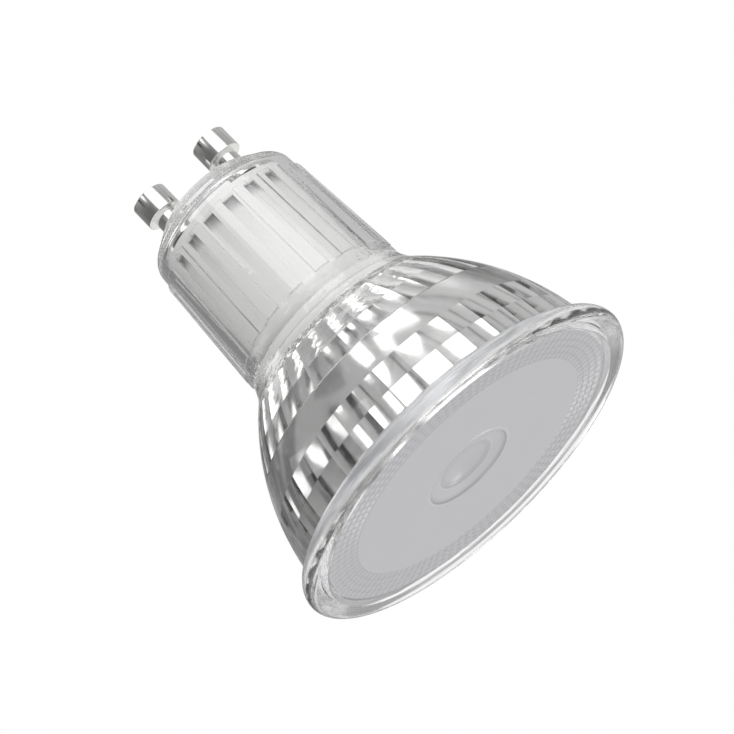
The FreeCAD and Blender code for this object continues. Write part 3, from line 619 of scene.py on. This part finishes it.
def close(bm, sharp_degrees, mirror_degrees=None):
    """Joins the seams, turns the faces outwards, checks that the shell is closed and marks sharp edges."""
    bmesh.ops.remove_doubles(bm, verts=bm.verts, dist=MERGE_DISTANCE)
    bmesh.ops.dissolve_degenerate(bm, dist=MERGE_DISTANCE, edges=bm.edges)
    bmesh.ops.recalc_face_normals(bm, faces=bm.faces)
    if any(len(edge.link_faces) != 2 for edge in bm.edges):
        raise RuntimeError("the mesh of a piece isn't a closed shell")
    for edge in bm.edges:
        mirrored = mirror_degrees and any(face.material_index == MIRROR for face in edge.link_faces)
        limit = mirror_degrees if mirrored else sharp_degrees
        edge.smooth = edge.calc_face_angle() < math.radians(limit)


def new_object(name, data):
    made = bpy.data.objects.new(name, data)
    bpy.context.scene.collection.objects.link(made)
    return made


def mesh_object(name, bm, materials):
    """Makes the object of a finished mesh."""
    mesh = bpy.data.meshes.new(name)
    bm.to_mesh(mesh)
    bm.free()
    for material in materials:
        mesh.materials.append(material)
    return new_object(name, mesh)


def piece(name, bm, nodes, materials):
    """A mesh object that rides on the bulb and stands for its CAD nodes."""
    made = mesh_object(name, bm, materials)
    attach(made, "root")
    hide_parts(*nodes)


def on_circle(centre, radius, turn):
    return Vector((centre[0] + radius * math.cos(turn), centre[1] + radius * math.sin(turn)))


class GlassForm:
    """Points of the glass body's section that follow from its sizes, as (radius, height)."""

    def __init__(self, glass):
        self.glass = glass
        self.back_centre = Vector((glass.rim_radius - glass.rim_back, glass.rim_crest))
        self.front_centre = Vector((glass.rim_radius - glass.rim_crest, glass.rim_crest))
        self.back_end = on_circle(self.back_centre, glass.rim_back, glass.rim_back_turn)
        fall = (self.back_end.x - glass.bell_foot) / math.tan(glass.rim_back_turn)
        bell_start = Vector((glass.bell_foot, self.back_end.y + fall))
        self.bell = on_circle(bell_start, -glass.bell_arc, glass.bell_lean)
        self.draft_turn = math.atan(glass.neck_draft)
        self.flare = self.flare_centre()
        self.bell_turn = math.atan2(self.flare.y - self.bell.y, self.flare.x - self.bell.x)
        foot = Vector((self.neck(glass.shoulder_height), glass.shoulder_height))
        self.shoulder = on_circle(foot, -glass.shoulder_round, self.draft_turn)
        bevel_foot = on_circle(self.shoulder, glass.shoulder_round, glass.bevel_lean)
        run = (glass.end_height - bevel_foot.y) * math.tan(glass.bevel_lean)
        self.end_radius = bevel_foot.x - run

    def neck(self, height):
        return self.glass.neck_radius - self.glass.neck_draft * (height - self.glass.neck_reference)

    def flare_centre(self):
        """Centre of the flare's arc, which touches the bell's arc and the neck's line."""
        glass = self.glass
        reach = self.neck(0.0) + glass.flare_arc * math.hypot(1.0, glass.neck_draft) - self.bell.x
        a = 1.0 + glass.neck_draft ** 2
        b = -2.0 * (glass.neck_draft * reach + self.bell.y)
        c = reach ** 2 + self.bell.y ** 2 - (glass.bell_arc + glass.flare_arc) ** 2
        height = (-b + math.sqrt(b * b - 4.0 * a * c)) / (2.0 * a)
        return Vector((self.bell.x + reach - glass.neck_draft * height, height))

    def reflector(self, height, step=0.0):
        """Radius of the facets' corners at a height, or of a band that stands in by a step."""
        return self.bell.x + math.sqrt(self.film_arc(step) ** 2 - (height - self.bell.y) ** 2)

    def film_arc(self, step=0.0):
        return self.glass.bell_arc - self.glass.reflector_wall - step


SECTOR_STEPS = 20
SHOULDER_STEPS = 14
FLARE_STEPS = 18
BELL_STEPS = 30
RIM_BACK_STEPS = 14
RIM_FRONT_STEPS = 20
CORNER_STEPS = 12
BAND_STEPS = 10
FACET_STEPS = 6
HOLE_CORNERS = 48
LENS_STEPS = 10
LENS_EDGE_STEPS = 6
PIN_STEPS = 96
PIN_ROUND_STEPS = 3
LEDGE = 0.0025
RIM_ROWS = (LEDGE, 0.0065, 0.0099)
BAND_TOP = 0.01425
THROAT_ROWS = (BAND_TOP, 0.0171, 0.0208)
CLEAR, MIRROR, FLANK, BOND = range(4)
FLANK_LIMIT = 0.9


def rib_pitch(glass):
    return 2 * math.pi / glass.rib_count


def draw_outside(bm, form):
    """Outside of the glass, from the edge of its end over shoulder, neck, bell and rim to the lens seat."""
    glass = form.glass
    section = Section(bm, form.end_radius, glass.end_height)
    section.line(*on_circle(form.shoulder, glass.shoulder_round, glass.bevel_lean))
    section.arc(form.shoulder, form.draft_turn - glass.bevel_lean, SHOULDER_STEPS)
    section.lines(*((form.neck(height), height) for height in (glass.rib_top, glass.rib_foot)))
    section.line(*on_circle(form.flare, glass.flare_arc, math.pi + form.draft_turn))
    section.arc(form.flare, form.bell_turn - form.draft_turn, FLARE_STEPS)
    section.arc(form.bell, glass.bell_lean - form.bell_turn, BELL_STEPS)
    section.line(*form.back_end)
    section.arc(form.back_centre, -glass.rim_back_turn, RIM_BACK_STEPS)
    section.arc(form.front_centre, -math.pi / 2, RIM_FRONT_STEPS)
    section.line(glass.lens_seat + glass.rim_bevel, 0.0)
    section.lines((glass.lens_seat, glass.rim_bevel), (glass.lens_seat, LEDGE))
    return section.turn(SECTOR_STEPS, rib_pitch(glass))


def draw_bore(bm, form, bond_top):
    """Inside of the neck, from the foot of the seat up to the edge of the end wall."""
    glass = form.glass
    ceiling = glass.end_height - glass.end_wall
    corner = Vector((glass.bore_radius - glass.end_corner, ceiling - glass.end_corner))
    section = Section(bm, glass.seat_radius, THROAT_ROWS[-1])
    section.lines(*((glass.seat_radius, height) for height in (glass.film_top, bond_top, glass.seat_height)))
    section.lines((glass.bore_radius + glass.bore_draft, glass.seat_height), (glass.bore_radius, corner.y))
    section.arc(corner, math.pi / 2, CORNER_STEPS)
    return section.turn(SECTOR_STEPS, rib_pitch(glass))


def in_rib_line(glass, place, shift=0.0):
    """Whether a place is in line with a rib, or with where the ribs would be when turned by a shift."""
    turn = math.atan2(place.y, place.x) - math.pi / 2 - shift + glass.rib_width / 2
    return turn % rib_pitch(glass) < glass.rib_width


def raise_ribs(bm, form, faces):
    """Lifts the ribs out of the neck's skin and marks their flanks."""
    glass = form.glass

    def on_rib(face):
        middle = face.calc_center_median()
        return glass.rib_foot < middle.z < glass.rib_top and in_rib_line(glass, middle)

    lifted = lift(bm, [face for face in faces if on_rib(face)])
    for height in (glass.rib_foot, glass.rib_top):
        ring = [vert for vert in lifted if abs(vert.co.z - height) < MERGE_DISTANCE]
        grow = 1.0 + glass.rib_rise / form.neck(height)
        bmesh.ops.scale(bm, vec=(grow, grow, 1.0), verts=ring)
    bm.normal_update()
    for face in bm.faces:
        middle = face.calc_center_median()
        outwards = Vector((middle.x, middle.y, 0.0)).normalized()
        at_foot = abs(middle.z - glass.rib_foot) < glass.rib_rise
        along = glass.rib_foot < middle.z < glass.rib_top + glass.rib_rise
        if (at_foot or along) and abs(face.normal.dot(outwards)) < FLANK_LIMIT:
            face.material_index = FLANK


def facet_arc(bm, form, height, start):
    """The edge of one facet along its row, which bulges towards the axis."""
    glass = form.glass
    half = math.pi / glass.facets
    radius = form.reflector(height)
    sag = radius * glass.facet_bulge
    chord = radius * math.sin(half)
    bend = arc_radius(chord, sag)
    reach = radius * math.cos(half) - sag + bend
    centre = (reach * math.cos(start + half), reach * math.sin(start + half), height)
    corner = bm.verts.new((radius * math.cos(start), radius * math.sin(start), height))
    before = set(bm.edges)
    turn = -2 * math.asin(chord / bend)
    bmesh.ops.spin(bm, geom=[corner], cent=centre, axis=UP, angle=turn, steps=FACET_STEPS)
    return [edge for edge in bm.edges if edge not in before]


def press_reflector(bm, form):
    """The mirrored faces of one sector: its facets in every row, and the smooth band between the rows."""
    glass = form.glass
    pitch = 2 * math.pi / glass.facets
    mirrored = []
    for rows in (RIM_ROWS, THROAT_ROWS):
        for low, high in zip(rows, rows[1:]):
            for place in range(glass.facets // glass.rib_count):
                start = glass.first_facet + place * pitch
                arcs = facet_arc(bm, form, low, start) + facet_arc(bm, form, high, start)
                mirrored += bmesh.ops.bridge_loops(bm, edges=arcs)["faces"]
    arc = form.film_arc(glass.band_step)
    low, high = (math.asin((height - form.bell.y) / arc) for height in (RIM_ROWS[-1], BAND_TOP))
    section = Section(bm, *on_circle(form.bell, arc, low))
    section.arc(form.bell, high - low, BAND_STEPS)
    mirrored += section.turn(SECTOR_STEPS, rib_pitch(glass))
    return mirrored


def join_rows(bm, form):
    """The flats between the rows, the band, the lens ledge and the seat."""
    glass = form.glass
    dip = 1.0 - math.cos(math.pi / glass.facets) + glass.facet_bulge

    def row(height):
        radius = form.reflector(height)
        return ring_edges(bm, radius, height, dip * radius)

    def band(height):
        return ring_edges(bm, form.reflector(height, glass.band_step), height)

    flat_ring(bm, ring_edges(bm, glass.lens_seat, LEDGE), row(LEDGE))
    flats = flat_ring(bm, row(THROAT_ROWS[-1]), ring_edges(bm, glass.seat_radius, THROAT_ROWS[-1]))
    for height in (RIM_ROWS[-1], BAND_TOP):
        flats += flat_ring(bm, row(height), band(height))
    for face in flats:
        face.material_index = MIRROR


def close_end(bm, form, pins):
    """The flat end wall with its two pin holes."""
    glass = form.glass
    inner = glass.end_height - glass.end_wall
    hole = pins.shank_radius + pins.hole_clearance
    outer_loops = [ring_edges(bm, form.end_radius, glass.end_height)]
    inner_loops = [ring_edges(bm, glass.bore_radius - glass.end_corner, inner)]
    for side in (1, -1):
        centre = side * pins.spacing / 2
        top = new_ring(bm, HOLE_CORNERS, hole, glass.end_height, centre)
        low = new_ring(bm, HOLE_CORNERS, hole, inner, centre)
        bmesh.ops.bridge_loops(bm, edges=top + low)
        outer_loops.append(top)
        inner_loops.append(low)
    flat_ring(bm, *outer_loops)
    flat_ring(bm, *inner_loops)


class BULB_OT_glass(bpy.types.Operator):
    """Make the pressed glass body with its ribs, reflector facets and mirror film"""
    bl_idname = "bulb.glass"
    bl_label = "Glass Body"

    def execute(self, context):
        scene = context.scene
        glass = scene.bulb_glass
        form = GlassForm(glass)
        bm = bmesh.new()
        raise_ribs(bm, form, draw_outside(bm, form))
        bond_top = scene.bulb_sleeve.foot
        for face in draw_bore(bm, form, bond_top):
            height = face.calc_center_median().z
            face.material_index = MIRROR if height < glass.film_top else BOND if height < bond_top else CLEAR
        for face in press_reflector(bm, form):
            face.material_index = MIRROR
        repeat_round(bm, glass.rib_count)
        smooth(bm)
        join_rows(bm, form)
        close_end(bm, form, scene.bulb_pins)
        close(bm, sharp_degrees=22.0, mirror_degrees=3.0)
        finishes = scene.bulb_finishes
        bond = plain_finish("seat_bond", finishes.bond, rough=(0.5, 0.7), contrast=0.95)
        materials = [clear_glass(finishes, glass), mirror_film(finishes), rib_flank(finishes), bond]
        piece("pressed_glass", bm, ["glass_body"], materials)
        return {"FINISHED"}


class BULB_OT_lens(bpy.types.Operator):
    """Make the frosted lens with its ring of prisms and its dish"""
    bl_idname = "bulb.lens"
    bl_label = "Front Lens"

    def execute(self, context):
        lens = context.scene.bulb_lens
        bm = bmesh.new()
        floor = lens.front + lens.dish_depth
        eye_ball = arc_radius(lens.eye_radius, lens.eye_depth)
        boss_ball = arc_radius(lens.boss_radius, lens.boss_height)
        eye_centre = (0.0, floor + lens.eye_depth - eye_ball)
        boss_centre = (0.0, lens.back + lens.boss_height - boss_ball)
        section = Section(bm, 0.0, floor + lens.eye_depth)
        section.arc(eye_centre, -math.asin(lens.eye_radius / eye_ball), LENS_STEPS)
        halfway = ((lens.eye_radius + lens.dish_radius) / 2, lens.front + lens.dish_sag * lens.dish_depth)
        bead = lens.bead
        section.lines(
            (lens.eye_radius + bead, floor - bead),
            (lens.eye_radius + 2 * bead, floor - bead / 2),
            halfway,
            (lens.dish_radius - bead, lens.front + bead),
            (lens.dish_radius, lens.front - bead / 2),
            (lens.dish_radius + 2 * bead, lens.front - bead / 2),
            (lens.dish_radius + 4 * bead, lens.front),
            (lens.prism_radius, lens.front),
        )
        prism_end = lens.radius - lens.edge_round
        pitch = (prism_end - lens.prism_radius) / lens.prism_rows
        for row in range(lens.prism_rows):
            inner = lens.prism_radius + row * pitch
            for radius in (inner + bead, inner + pitch - bead, inner + pitch):
                section.line(radius, lens.front)
        section.arc((prism_end, lens.front + lens.edge_round), math.pi / 2, LENS_EDGE_STEPS)
        section.lines((lens.radius, lens.back), (lens.boss_radius, lens.back))
        section.arc(boss_centre, math.asin(lens.boss_radius / boss_ball), LENS_STEPS)
        section.turn(2 * lens.prism_count)
        smooth(bm)
        close(bm, sharp_degrees=7.0)

        def in_groove(vert):
            """Whether a point is on the line along the middle of a prism."""
            place = (math.hypot(vert.co.x, vert.co.y) - lens.prism_radius) / pitch
            steps = round(math.atan2(vert.co.y, vert.co.x) / (math.pi / lens.prism_count))
            inside = 0.0 < place < lens.prism_rows and abs(place - round(place)) > 0.5 * bead / pitch
            return inside and steps % 2 and abs(vert.co.z - lens.front) < MERGE_DISTANCE

        grooves = [vert for vert in bm.verts if in_groove(vert)]
        bmesh.ops.translate(bm, vec=(0.0, 0.0, lens.prism_depth), verts=grooves)
        for face in {face for vert in grooves for face in vert.link_faces}:
            face.smooth = False
        frosting = frosted_lens(context.scene.bulb_finishes, lens)
        piece("frosted_lens", bm, ["front_lens"], [frosting])
        return {"FINISHED"}


class BULB_OT_pins(bpy.types.Operator):
    """Make the two turned contact pins"""
    bl_idname = "bulb.pins"
    bl_label = "Contact Pins"

    def execute(self, context):
        pins = context.scene.bulb_pins
        glass = context.scene.bulb_glass
        plating = plated_pin(context.scene.bulb_finishes)
        seat = glass.end_height
        inner = seat - glass.end_wall
        rivet_foot = inner - pins.rivet
        head_foot = pins.tip - pins.head_length
        for name, side in (("pin_live", 1), ("pin_neutral", -1)):
            bm = bmesh.new()
            section = Section(bm, 0.0, rivet_foot - pins.stub)
            section.lines(
                (pins.stub_radius, rivet_foot - pins.stub),
                (pins.stub_radius, rivet_foot),
                (pins.rivet_radius - pins.rivet / 2, rivet_foot),
                (pins.rivet_radius, inner - pins.rivet / 2),
                (pins.rivet_radius, inner),
                (pins.shank_radius, inner),
                (pins.shank_radius, seat),
                (pins.collar_radius, seat),
                (pins.collar_radius, seat + pins.collar),
                (pins.shank_radius, seat + pins.collar),
                (pins.shank_radius, head_foot),
                (pins.head_radius - pins.chamfer, head_foot),
                (pins.head_radius, head_foot + pins.chamfer),
                (pins.head_radius, pins.tip - pins.chamfer),
                (pins.head_radius - pins.chamfer, pins.tip),
                (pins.dimple_radius, pins.tip),
                (0.0, pins.tip - pins.dimple_depth),
            )
            section.turn(PIN_STEPS)
            smooth(bm)
            close(bm, sharp_degrees=25.0)
            turned = [edge for edge in bm.edges if not edge.smooth and edge.calc_face_angle_signed() > 0]
            bmesh.ops.bevel(bm, geom=turned, offset=pins.edge_round, segments=PIN_ROUND_STEPS, profile=0.5,
                            affect="EDGES", material=-1)
            close(bm, sharp_degrees=40.0)
            bmesh.ops.translate(bm, vec=(side * pins.spacing / 2, 0.0, 0.0), verts=bm.verts)
            piece("turned_" + name, bm, [name], [plating])
        return {"FINISHED"}


class BULB_OT_sleeve(bpy.types.Operator):
    """Make the white sleeve that shows through the neck, with its flange and scoops"""
    bl_idname = "bulb.sleeve"
    bl_label = "Driver Sleeve"

    def execute(self, context):
        sleeve = context.scene.bulb_sleeve
        glass = context.scene.bulb_glass
        bm = bmesh.new()
        bore = sleeve.radius - sleeve.wall
        ceiling = sleeve.top - sleeve.end_wall
        section = Section(bm, 0.0, sleeve.top)
        section.lines(
            (sleeve.radius, sleeve.top),
            (sleeve.radius, sleeve.scoop_top),
            (sleeve.radius, sleeve.scoop_foot),
            (sleeve.radius, sleeve.flange_top),
            (sleeve.flange_radius, sleeve.flange_top),
            (sleeve.flange_radius, sleeve.foot),
            (bore, sleeve.foot),
            (bore, ceiling),
            (0.0, ceiling),
        )
        pitch = rib_pitch(glass)
        skin = section.turn(SECTOR_STEPS, pitch, -pitch / 2)

        def on_scoop(face):
            """Whether a face of the outer skin is on a scoop. The scoops lie between the ribs."""
            middle = face.calc_center_median()
            outer = math.hypot(middle.x, middle.y) > sleeve.radius - sleeve.wall / 2
            level = sleeve.scoop_foot < middle.z < sleeve.scoop_top
            return outer and level and in_rib_line(glass, middle, pitch / 2)

        sunk = lift(bm, [face for face in skin if on_scoop(face)])
        ledge = [vert for vert in sunk if vert.co.z > sleeve.scoop_top - MERGE_DISTANCE]
        shrink = 1.0 - sleeve.scoop_depth / sleeve.radius
        bmesh.ops.scale(bm, vec=(shrink, shrink, 1.0), verts=ledge)
        repeat_round(bm, glass.rib_count)
        smooth(bm)
        close(bm, sharp_degrees=25.0)
        moulding = white_moulding(context.scene.bulb_finishes, sleeve, glass.rib_count)
        piece("white_sleeve", bm, ["driver_sleeve"], [moulding])
        return {"FINISHED"}


INNER_FINISHES = {
    "lens_bond": dict(shade=(0.82, 0.82, 0.81), rough=(0.25, 0.4), scale=900.0),
    "heat_spreader": dict(shade=(0.78, 0.79, 0.80), metallic=1.0, rough=(0.2, 0.4), scale=300.0,
                          stretch=(1.0, 1.0, 40.0)),
    "thermal_pad": dict(shade=(0.35, 0.42, 0.48), rough=(0.6, 0.8)),
    "led_board": dict(shade=(0.86, 0.87, 0.85), rough=(0.25, 0.4), contrast=0.93),
    "cob_led": dict(shade=(0.90, 0.72, 0.16), rough=(0.4, 0.6), contrast=0.9),
    "driver_board": dict(shade=(0.05, 0.22, 0.10), rough=(0.2, 0.4), contrast=0.7, scale=700.0),
    "bulk_capacitor": dict(shade=(0.04, 0.05, 0.07), rough=(0.25, 0.4), contrast=1.5),
    "film_capacitor": dict(shade=(0.55, 0.11, 0.06), rough=(0.3, 0.5)),
    "fusible_resistor": dict(shade=(0.45, 0.56, 0.62), rough=(0.3, 0.5)),
    "bridge_rectifier": dict(shade=(0.03, 0.03, 0.03), rough=(0.45, 0.65), contrast=1.6),
    "driver_chip": dict(shade=(0.03, 0.03, 0.032), rough=(0.45, 0.65), contrast=1.6),
    "choke_core": dict(shade=(0.07, 0.07, 0.07), rough=(0.5, 0.7), contrast=1.5),
    "choke_winding": dict(shade=(0.72, 0.34, 0.16), metallic=1.0, rough=(0.2, 0.35), scale=400.0,
                          stretch=(1.0, 30.0, 1.0)),
    "ceramic_capacitors": dict(shade=(0.52, 0.40, 0.26), rough=(0.4, 0.6)),
    "chip_resistors": dict(shade=(0.05, 0.05, 0.05), rough=(0.3, 0.5), contrast=1.5),
    "live_lead": dict(shade=(0.30, 0.14, 0.07), rough=(0.35, 0.5)),
    "neutral_lead": dict(shade=(0.08, 0.20, 0.50), rough=(0.35, 0.5)),
    "led_lead_positive": dict(shade=(0.55, 0.05, 0.04), rough=(0.35, 0.5)),
    "led_lead_negative": dict(shade=(0.04, 0.04, 0.04), rough=(0.35, 0.5), contrast=1.5),
}


class BULB_OT_inside(bpy.types.Operator):
    """Give the pieces inside the bulb their finishes"""
    bl_idname = "bulb.inside"
    bl_label = "Inner Pieces"

    def execute(self, context):
        for node, finish in INNER_FINISHES.items():
            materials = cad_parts[node].data.materials
            materials.clear()
            materials.append(plain_finish(node, **finish))
        return {"FINISHED"}


SENSOR_WIDTH = 36.0
BOUNCES = 24
GLOSSY_BOUNCES = 12

# Angles of the stage are in degrees, the azimuth is zero on the camera's side, and level 1 looks white.
LAMP_DISTANCE = 0.7
LAMP_TARGET = Vector((0.0, 0.0, 0.02))
SOFTBOXES = {
    "round_key": dict(azimuth=29.0, elevation=21.0, width=0.81, height=0.81, level=1.36, shape="DISK"),
    "left_strip": dict(azimuth=-26.0, elevation=38.0, width=0.11, height=0.20, level=1.8),
    "left_wing": dict(azimuth=-88.0, elevation=41.5, width=0.40, height=0.10, level=0.95),
    "top_strip": dict(azimuth=2.0, elevation=70.0, width=0.08, height=0.21, level=1.9),
    "top_panel": dict(azimuth=63.0, elevation=66.4, width=0.21, height=0.182, level=1.35, roll=-36.0),
    "top_corner": dict(azimuth=30.0, elevation=63.2, width=0.085, height=0.125, level=1.35, roll=-30.0),
    "zenith_strip": dict(azimuth=103.0, elevation=82.3, width=0.04, height=0.17, level=1.5, roll=10.0),
    "back_left_panel": dict(azimuth=-140.0, elevation=55.0, width=0.20, height=0.16, level=1.5),
    "back_right_panel": dict(azimuth=143.0, elevation=74.0, width=0.16, height=0.14, level=1.5),
    "low_back": dict(azimuth=164.0, elevation=-42.0, width=0.12, height=0.10, level=5.0),
    "low_front": dict(azimuth=-32.0, elevation=-46.0, width=0.45, height=0.30, level=1.5),
}

# Levels of the room at its left and its right, and where the low room gives way to the high one.
LOW_ROOM = (0.15, 0.45)
HIGH_ROOM = (0.36, 0.60)
HORIZON = (20.0, 34.0)
BACK_GLOW = 0.08
CEILING = (43.0, 62.0)
CEILING_EDGE = 3.0
CEILING_LEVEL = 0.95
TABLE_LEVEL = 0.9
BACKDROP = (7.0, 4.0)

# Dark screens: their azimuths, their elevations and their level.
SCREEN_EDGE = 1.0
DARK_SCREENS = (
    ((-62.0, -48.0), (26.0, 57.0), 0.04),
    ((-84.0, -34.0), (63.0, 76.0), 0.24),
    ((-98.0, -72.0), (76.0, 82.0), 0.06),
    ((5.0, 96.0), (74.0, 84.0), 0.16),
    ((76.0, 81.0), (15.0, 60.0), 0.26),
    ((102.0, 107.0), (15.0, 70.0), 0.30),
    ((-135.0, -112.0), (26.0, 60.0), 0.16),
    ((-9.0, -5.0), (30.0, 60.0), 0.10),
    ((-176.0, -140.0), (27.0, 41.0), 0.17),
    ((140.0, 176.0), (27.0, 41.0), 0.22),
)

FLOOR_CORNERS = 96
FLOOR_FADE = (0.45, 0.95)
FLOOR_GLOW = 0.55
FLOOR_PAPER = (0.55, 0.55, 0.55)
FLOOR_UNSEEN = ("visible_diffuse", "visible_glossy", "visible_transmission", "visible_volume_scatter",
                "visible_shadow")


def softbox(name, azimuth, elevation, width, height, level, shape="RECTANGLE", roll=0.0):
    """A soft lamp that faces the bulb."""
    lamp = bpy.data.lights.new(name, "AREA")
    lamp.shape = shape
    lamp.size = width
    lamp.size_y = height
    fill = 1.0 if shape == "RECTANGLE" else math.pi / 4
    lamp.energy = level * math.pi * fill * width * height
    turn = math.radians(azimuth)
    rise = math.radians(elevation)
    out = Vector((math.sin(turn) * math.cos(rise), -math.cos(turn) * math.cos(rise), math.sin(rise)))
    facing = out.to_track_quat("Z", "Y").to_matrix()
    made = new_object(name, lamp)
    made.location = out * LAMP_DISTANCE + LAMP_TARGET
    made.rotation_euler = (facing @ Matrix.Rotation(math.radians(roll), 3, "Z")).to_euler()


def studio_world(view):
    """A white backdrop for the camera, which metal and glass show behind the bulb. For the rest a grey room,
    darker at the left, over a white table, with a white ceiling at the back and a few dark screens."""
    world = bpy.data.worlds.new("studio")
    bpy.context.scene.world = world
    paint = Paint(world)
    direction = paint.node("ShaderNodeTexCoord", output="Generated")
    x, y, z = paint.parts(direction)
    azimuth = paint.maths("ARCTAN2", x, 0.0 - y)
    elevation = paint.maths("ARCSINE", z)

    def window(value, low, high, edge):
        low, high, edge = (math.radians(part) for part in (low, high, edge))
        return paint.belt(value, low - edge, low + edge, high - edge, high + edge)

    def towards(level, mask, new_level):
        return level * (1.0 - mask) + mask * new_level

    low_room = paint.between(x, -0.7, 0.7, *LOW_ROOM) + paint.between(y, 0.0, 0.6, 0.0, BACK_GLOW)
    high_room = paint.between(x, -0.8, 0.8, *HIGH_ROOM)
    high = paint.between(elevation, *(math.radians(part) for part in HORIZON))
    level = towards(low_room, high, high_room)
    ceiling = paint.between(y, 0.2, 0.5) * window(elevation, *CEILING, CEILING_EDGE)
    level = towards(level, ceiling, CEILING_LEVEL)
    for azimuths, elevations, shade in DARK_SCREENS:
        screen = window(azimuth, *azimuths, SCREEN_EDGE) * window(elevation, *elevations, SCREEN_EDGE)
        level = towards(level, screen, shade)
    level = towards(level, paint.between(z, 0.0, -0.2), TABLE_LEVEL)
    sockets = {0: direction, 1: view}
    facing = paint.node("ShaderNodeVectorMath", {"operation": "DOT_PRODUCT"}, sockets, output="Value")
    backdrop = paint.between(facing, *(math.cos(math.radians(part)) for part in BACKDROP))
    camera, glossy, passing = paint.rays("Is Camera Ray", "Is Glossy Ray", "Is Transmission Ray")
    seen = camera.largest(backdrop * glossy.largest(passing))
    white = paint.node("ShaderNodeBackground", {}, {"Color": opaque(WHITE), "Strength": 1.0})
    studio = paint.node("ShaderNodeBackground", {}, {"Color": opaque(WHITE), "Strength": level})
    shown = paint.node("ShaderNodeMixShader", {}, {0: seen, 1: studio, 2: white})
    paint.show(shown, "ShaderNodeOutputWorld")


def shadow_floor(radius):
    """A pale floor under the rim that is seen from above only, takes the bulb's shadow and fades out."""
    material, paint = new_paint("pale_floor")
    x, y = paint.parts(paint.place())[:2]
    below = paint.node("ShaderNodeNewGeometry", output="Backfacing")
    gone = paint.between(paint.from_axis(x, y), *(share * radius for share in FLOOR_FADE)).largest(below)
    glow = paint.node("ShaderNodeEmission", {}, {"Color": opaque(WHITE), "Strength": FLOOR_GLOW})
    paper = paint.node("ShaderNodeBsdfDiffuse", {}, {"Color": opaque(FLOOR_PAPER)})
    lit = paint.node("ShaderNodeAddShader", {}, {0: glow, 1: paper})
    clear = paint.node("ShaderNodeBsdfTransparent")
    paint.show(paint.node("ShaderNodeMixShader", {}, {0: gone, 1: lit, 2: clear}))
    bm = bmesh.new()
    bmesh.ops.create_circle(bm, cap_ends=True, segments=FLOOR_CORNERS, radius=radius)
    floor = mesh_object("floor", bm, [material])
    for flag in FLOOR_UNSEEN:
        setattr(floor, flag, False)


class BULB_OT_stage(bpy.types.Operator):
    """Set up the camera, the lamps, the white backdrop and the floor"""
    bl_idname = "bulb.stage"
    bl_label = "Stage"

    def execute(self, context):
        scene = context.scene
        stage = scene.bulb_stage
        camera = new_object("camera", bpy.data.cameras.new("camera"))
        camera.data.sensor_width = SENSOR_WIDTH
        camera.data.lens = stage.lens_length
        turn = Matrix.Rotation(stage.azimuth, 4, "Z")
        pitch = Matrix.Rotation(math.pi / 2 + stage.elevation, 4, "X")
        roll = Matrix.Rotation(stage.roll, 4, "Z")
        aim = turn @ pitch @ roll
        stand = Matrix.Translation((-stage.camera_left, stage.camera_up, stage.distance))
        camera.matrix_world = aim @ stand
        scene.camera = camera
        scene.view_settings.view_transform = "Standard"
        scene.cycles.max_bounces = BOUNCES
        scene.cycles.glossy_bounces = GLOSSY_BOUNCES
        scene.cycles.transmission_bounces = BOUNCES
        studio_world(-aim.col[2].xyz)
        for name, lamp in SOFTBOXES.items():
            softbox(name, **lamp)
        shadow_floor(stage.floor_radius)
        return {"FINISHED"}


OPERATORS = (BULB_OT_stage, BULB_OT_glass, BULB_OT_lens, BULB_OT_pins, BULB_OT_sleeve, BULB_OT_inside)


class BULB_PT_panel(bpy.types.Panel):
    """Lists the bulb's sizes, colours and steps"""
    bl_idname = "BULB_PT_panel"
    bl_label = "Spotlight Bulb"
    bl_space_type = "VIEW_3D"
    bl_region_type = "UI"
    bl_category = "Bulb"

    def draw(self, context):
        layout = self.layout
        for operator in OPERATORS:
            layout.operator(operator.bl_idname)
        for name, group in SETTINGS.items():
            box = layout.box()
            box.label(text=group.__doc__)
            settings = getattr(context.scene, name)
            for field in group.__annotations__:
                box.prop(settings, field)


CLASSES = (*SETTINGS.values(), *OPERATORS, BULB_PT_panel)


def register():
    for made in CLASSES:
        bpy.utils.register_class(made)
    for name, group in SETTINGS.items():
        setattr(bpy.types.Scene, name, PointerProperty(type=group))


def unregister():
    for name in SETTINGS:
        delattr(bpy.types.Scene, name)
    for made in reversed(CLASSES):
        bpy.utils.unregister_class(made)


def main():
    register()
    bpy.ops.bulb.stage()
    bpy.ops.bulb.glass()
    bpy.ops.bulb.lens()
    bpy.ops.bulb.pins()
    bpy.ops.bulb.sleeve()
    bpy.ops.bulb.inside()


if __name__ == "__main__":
    main()
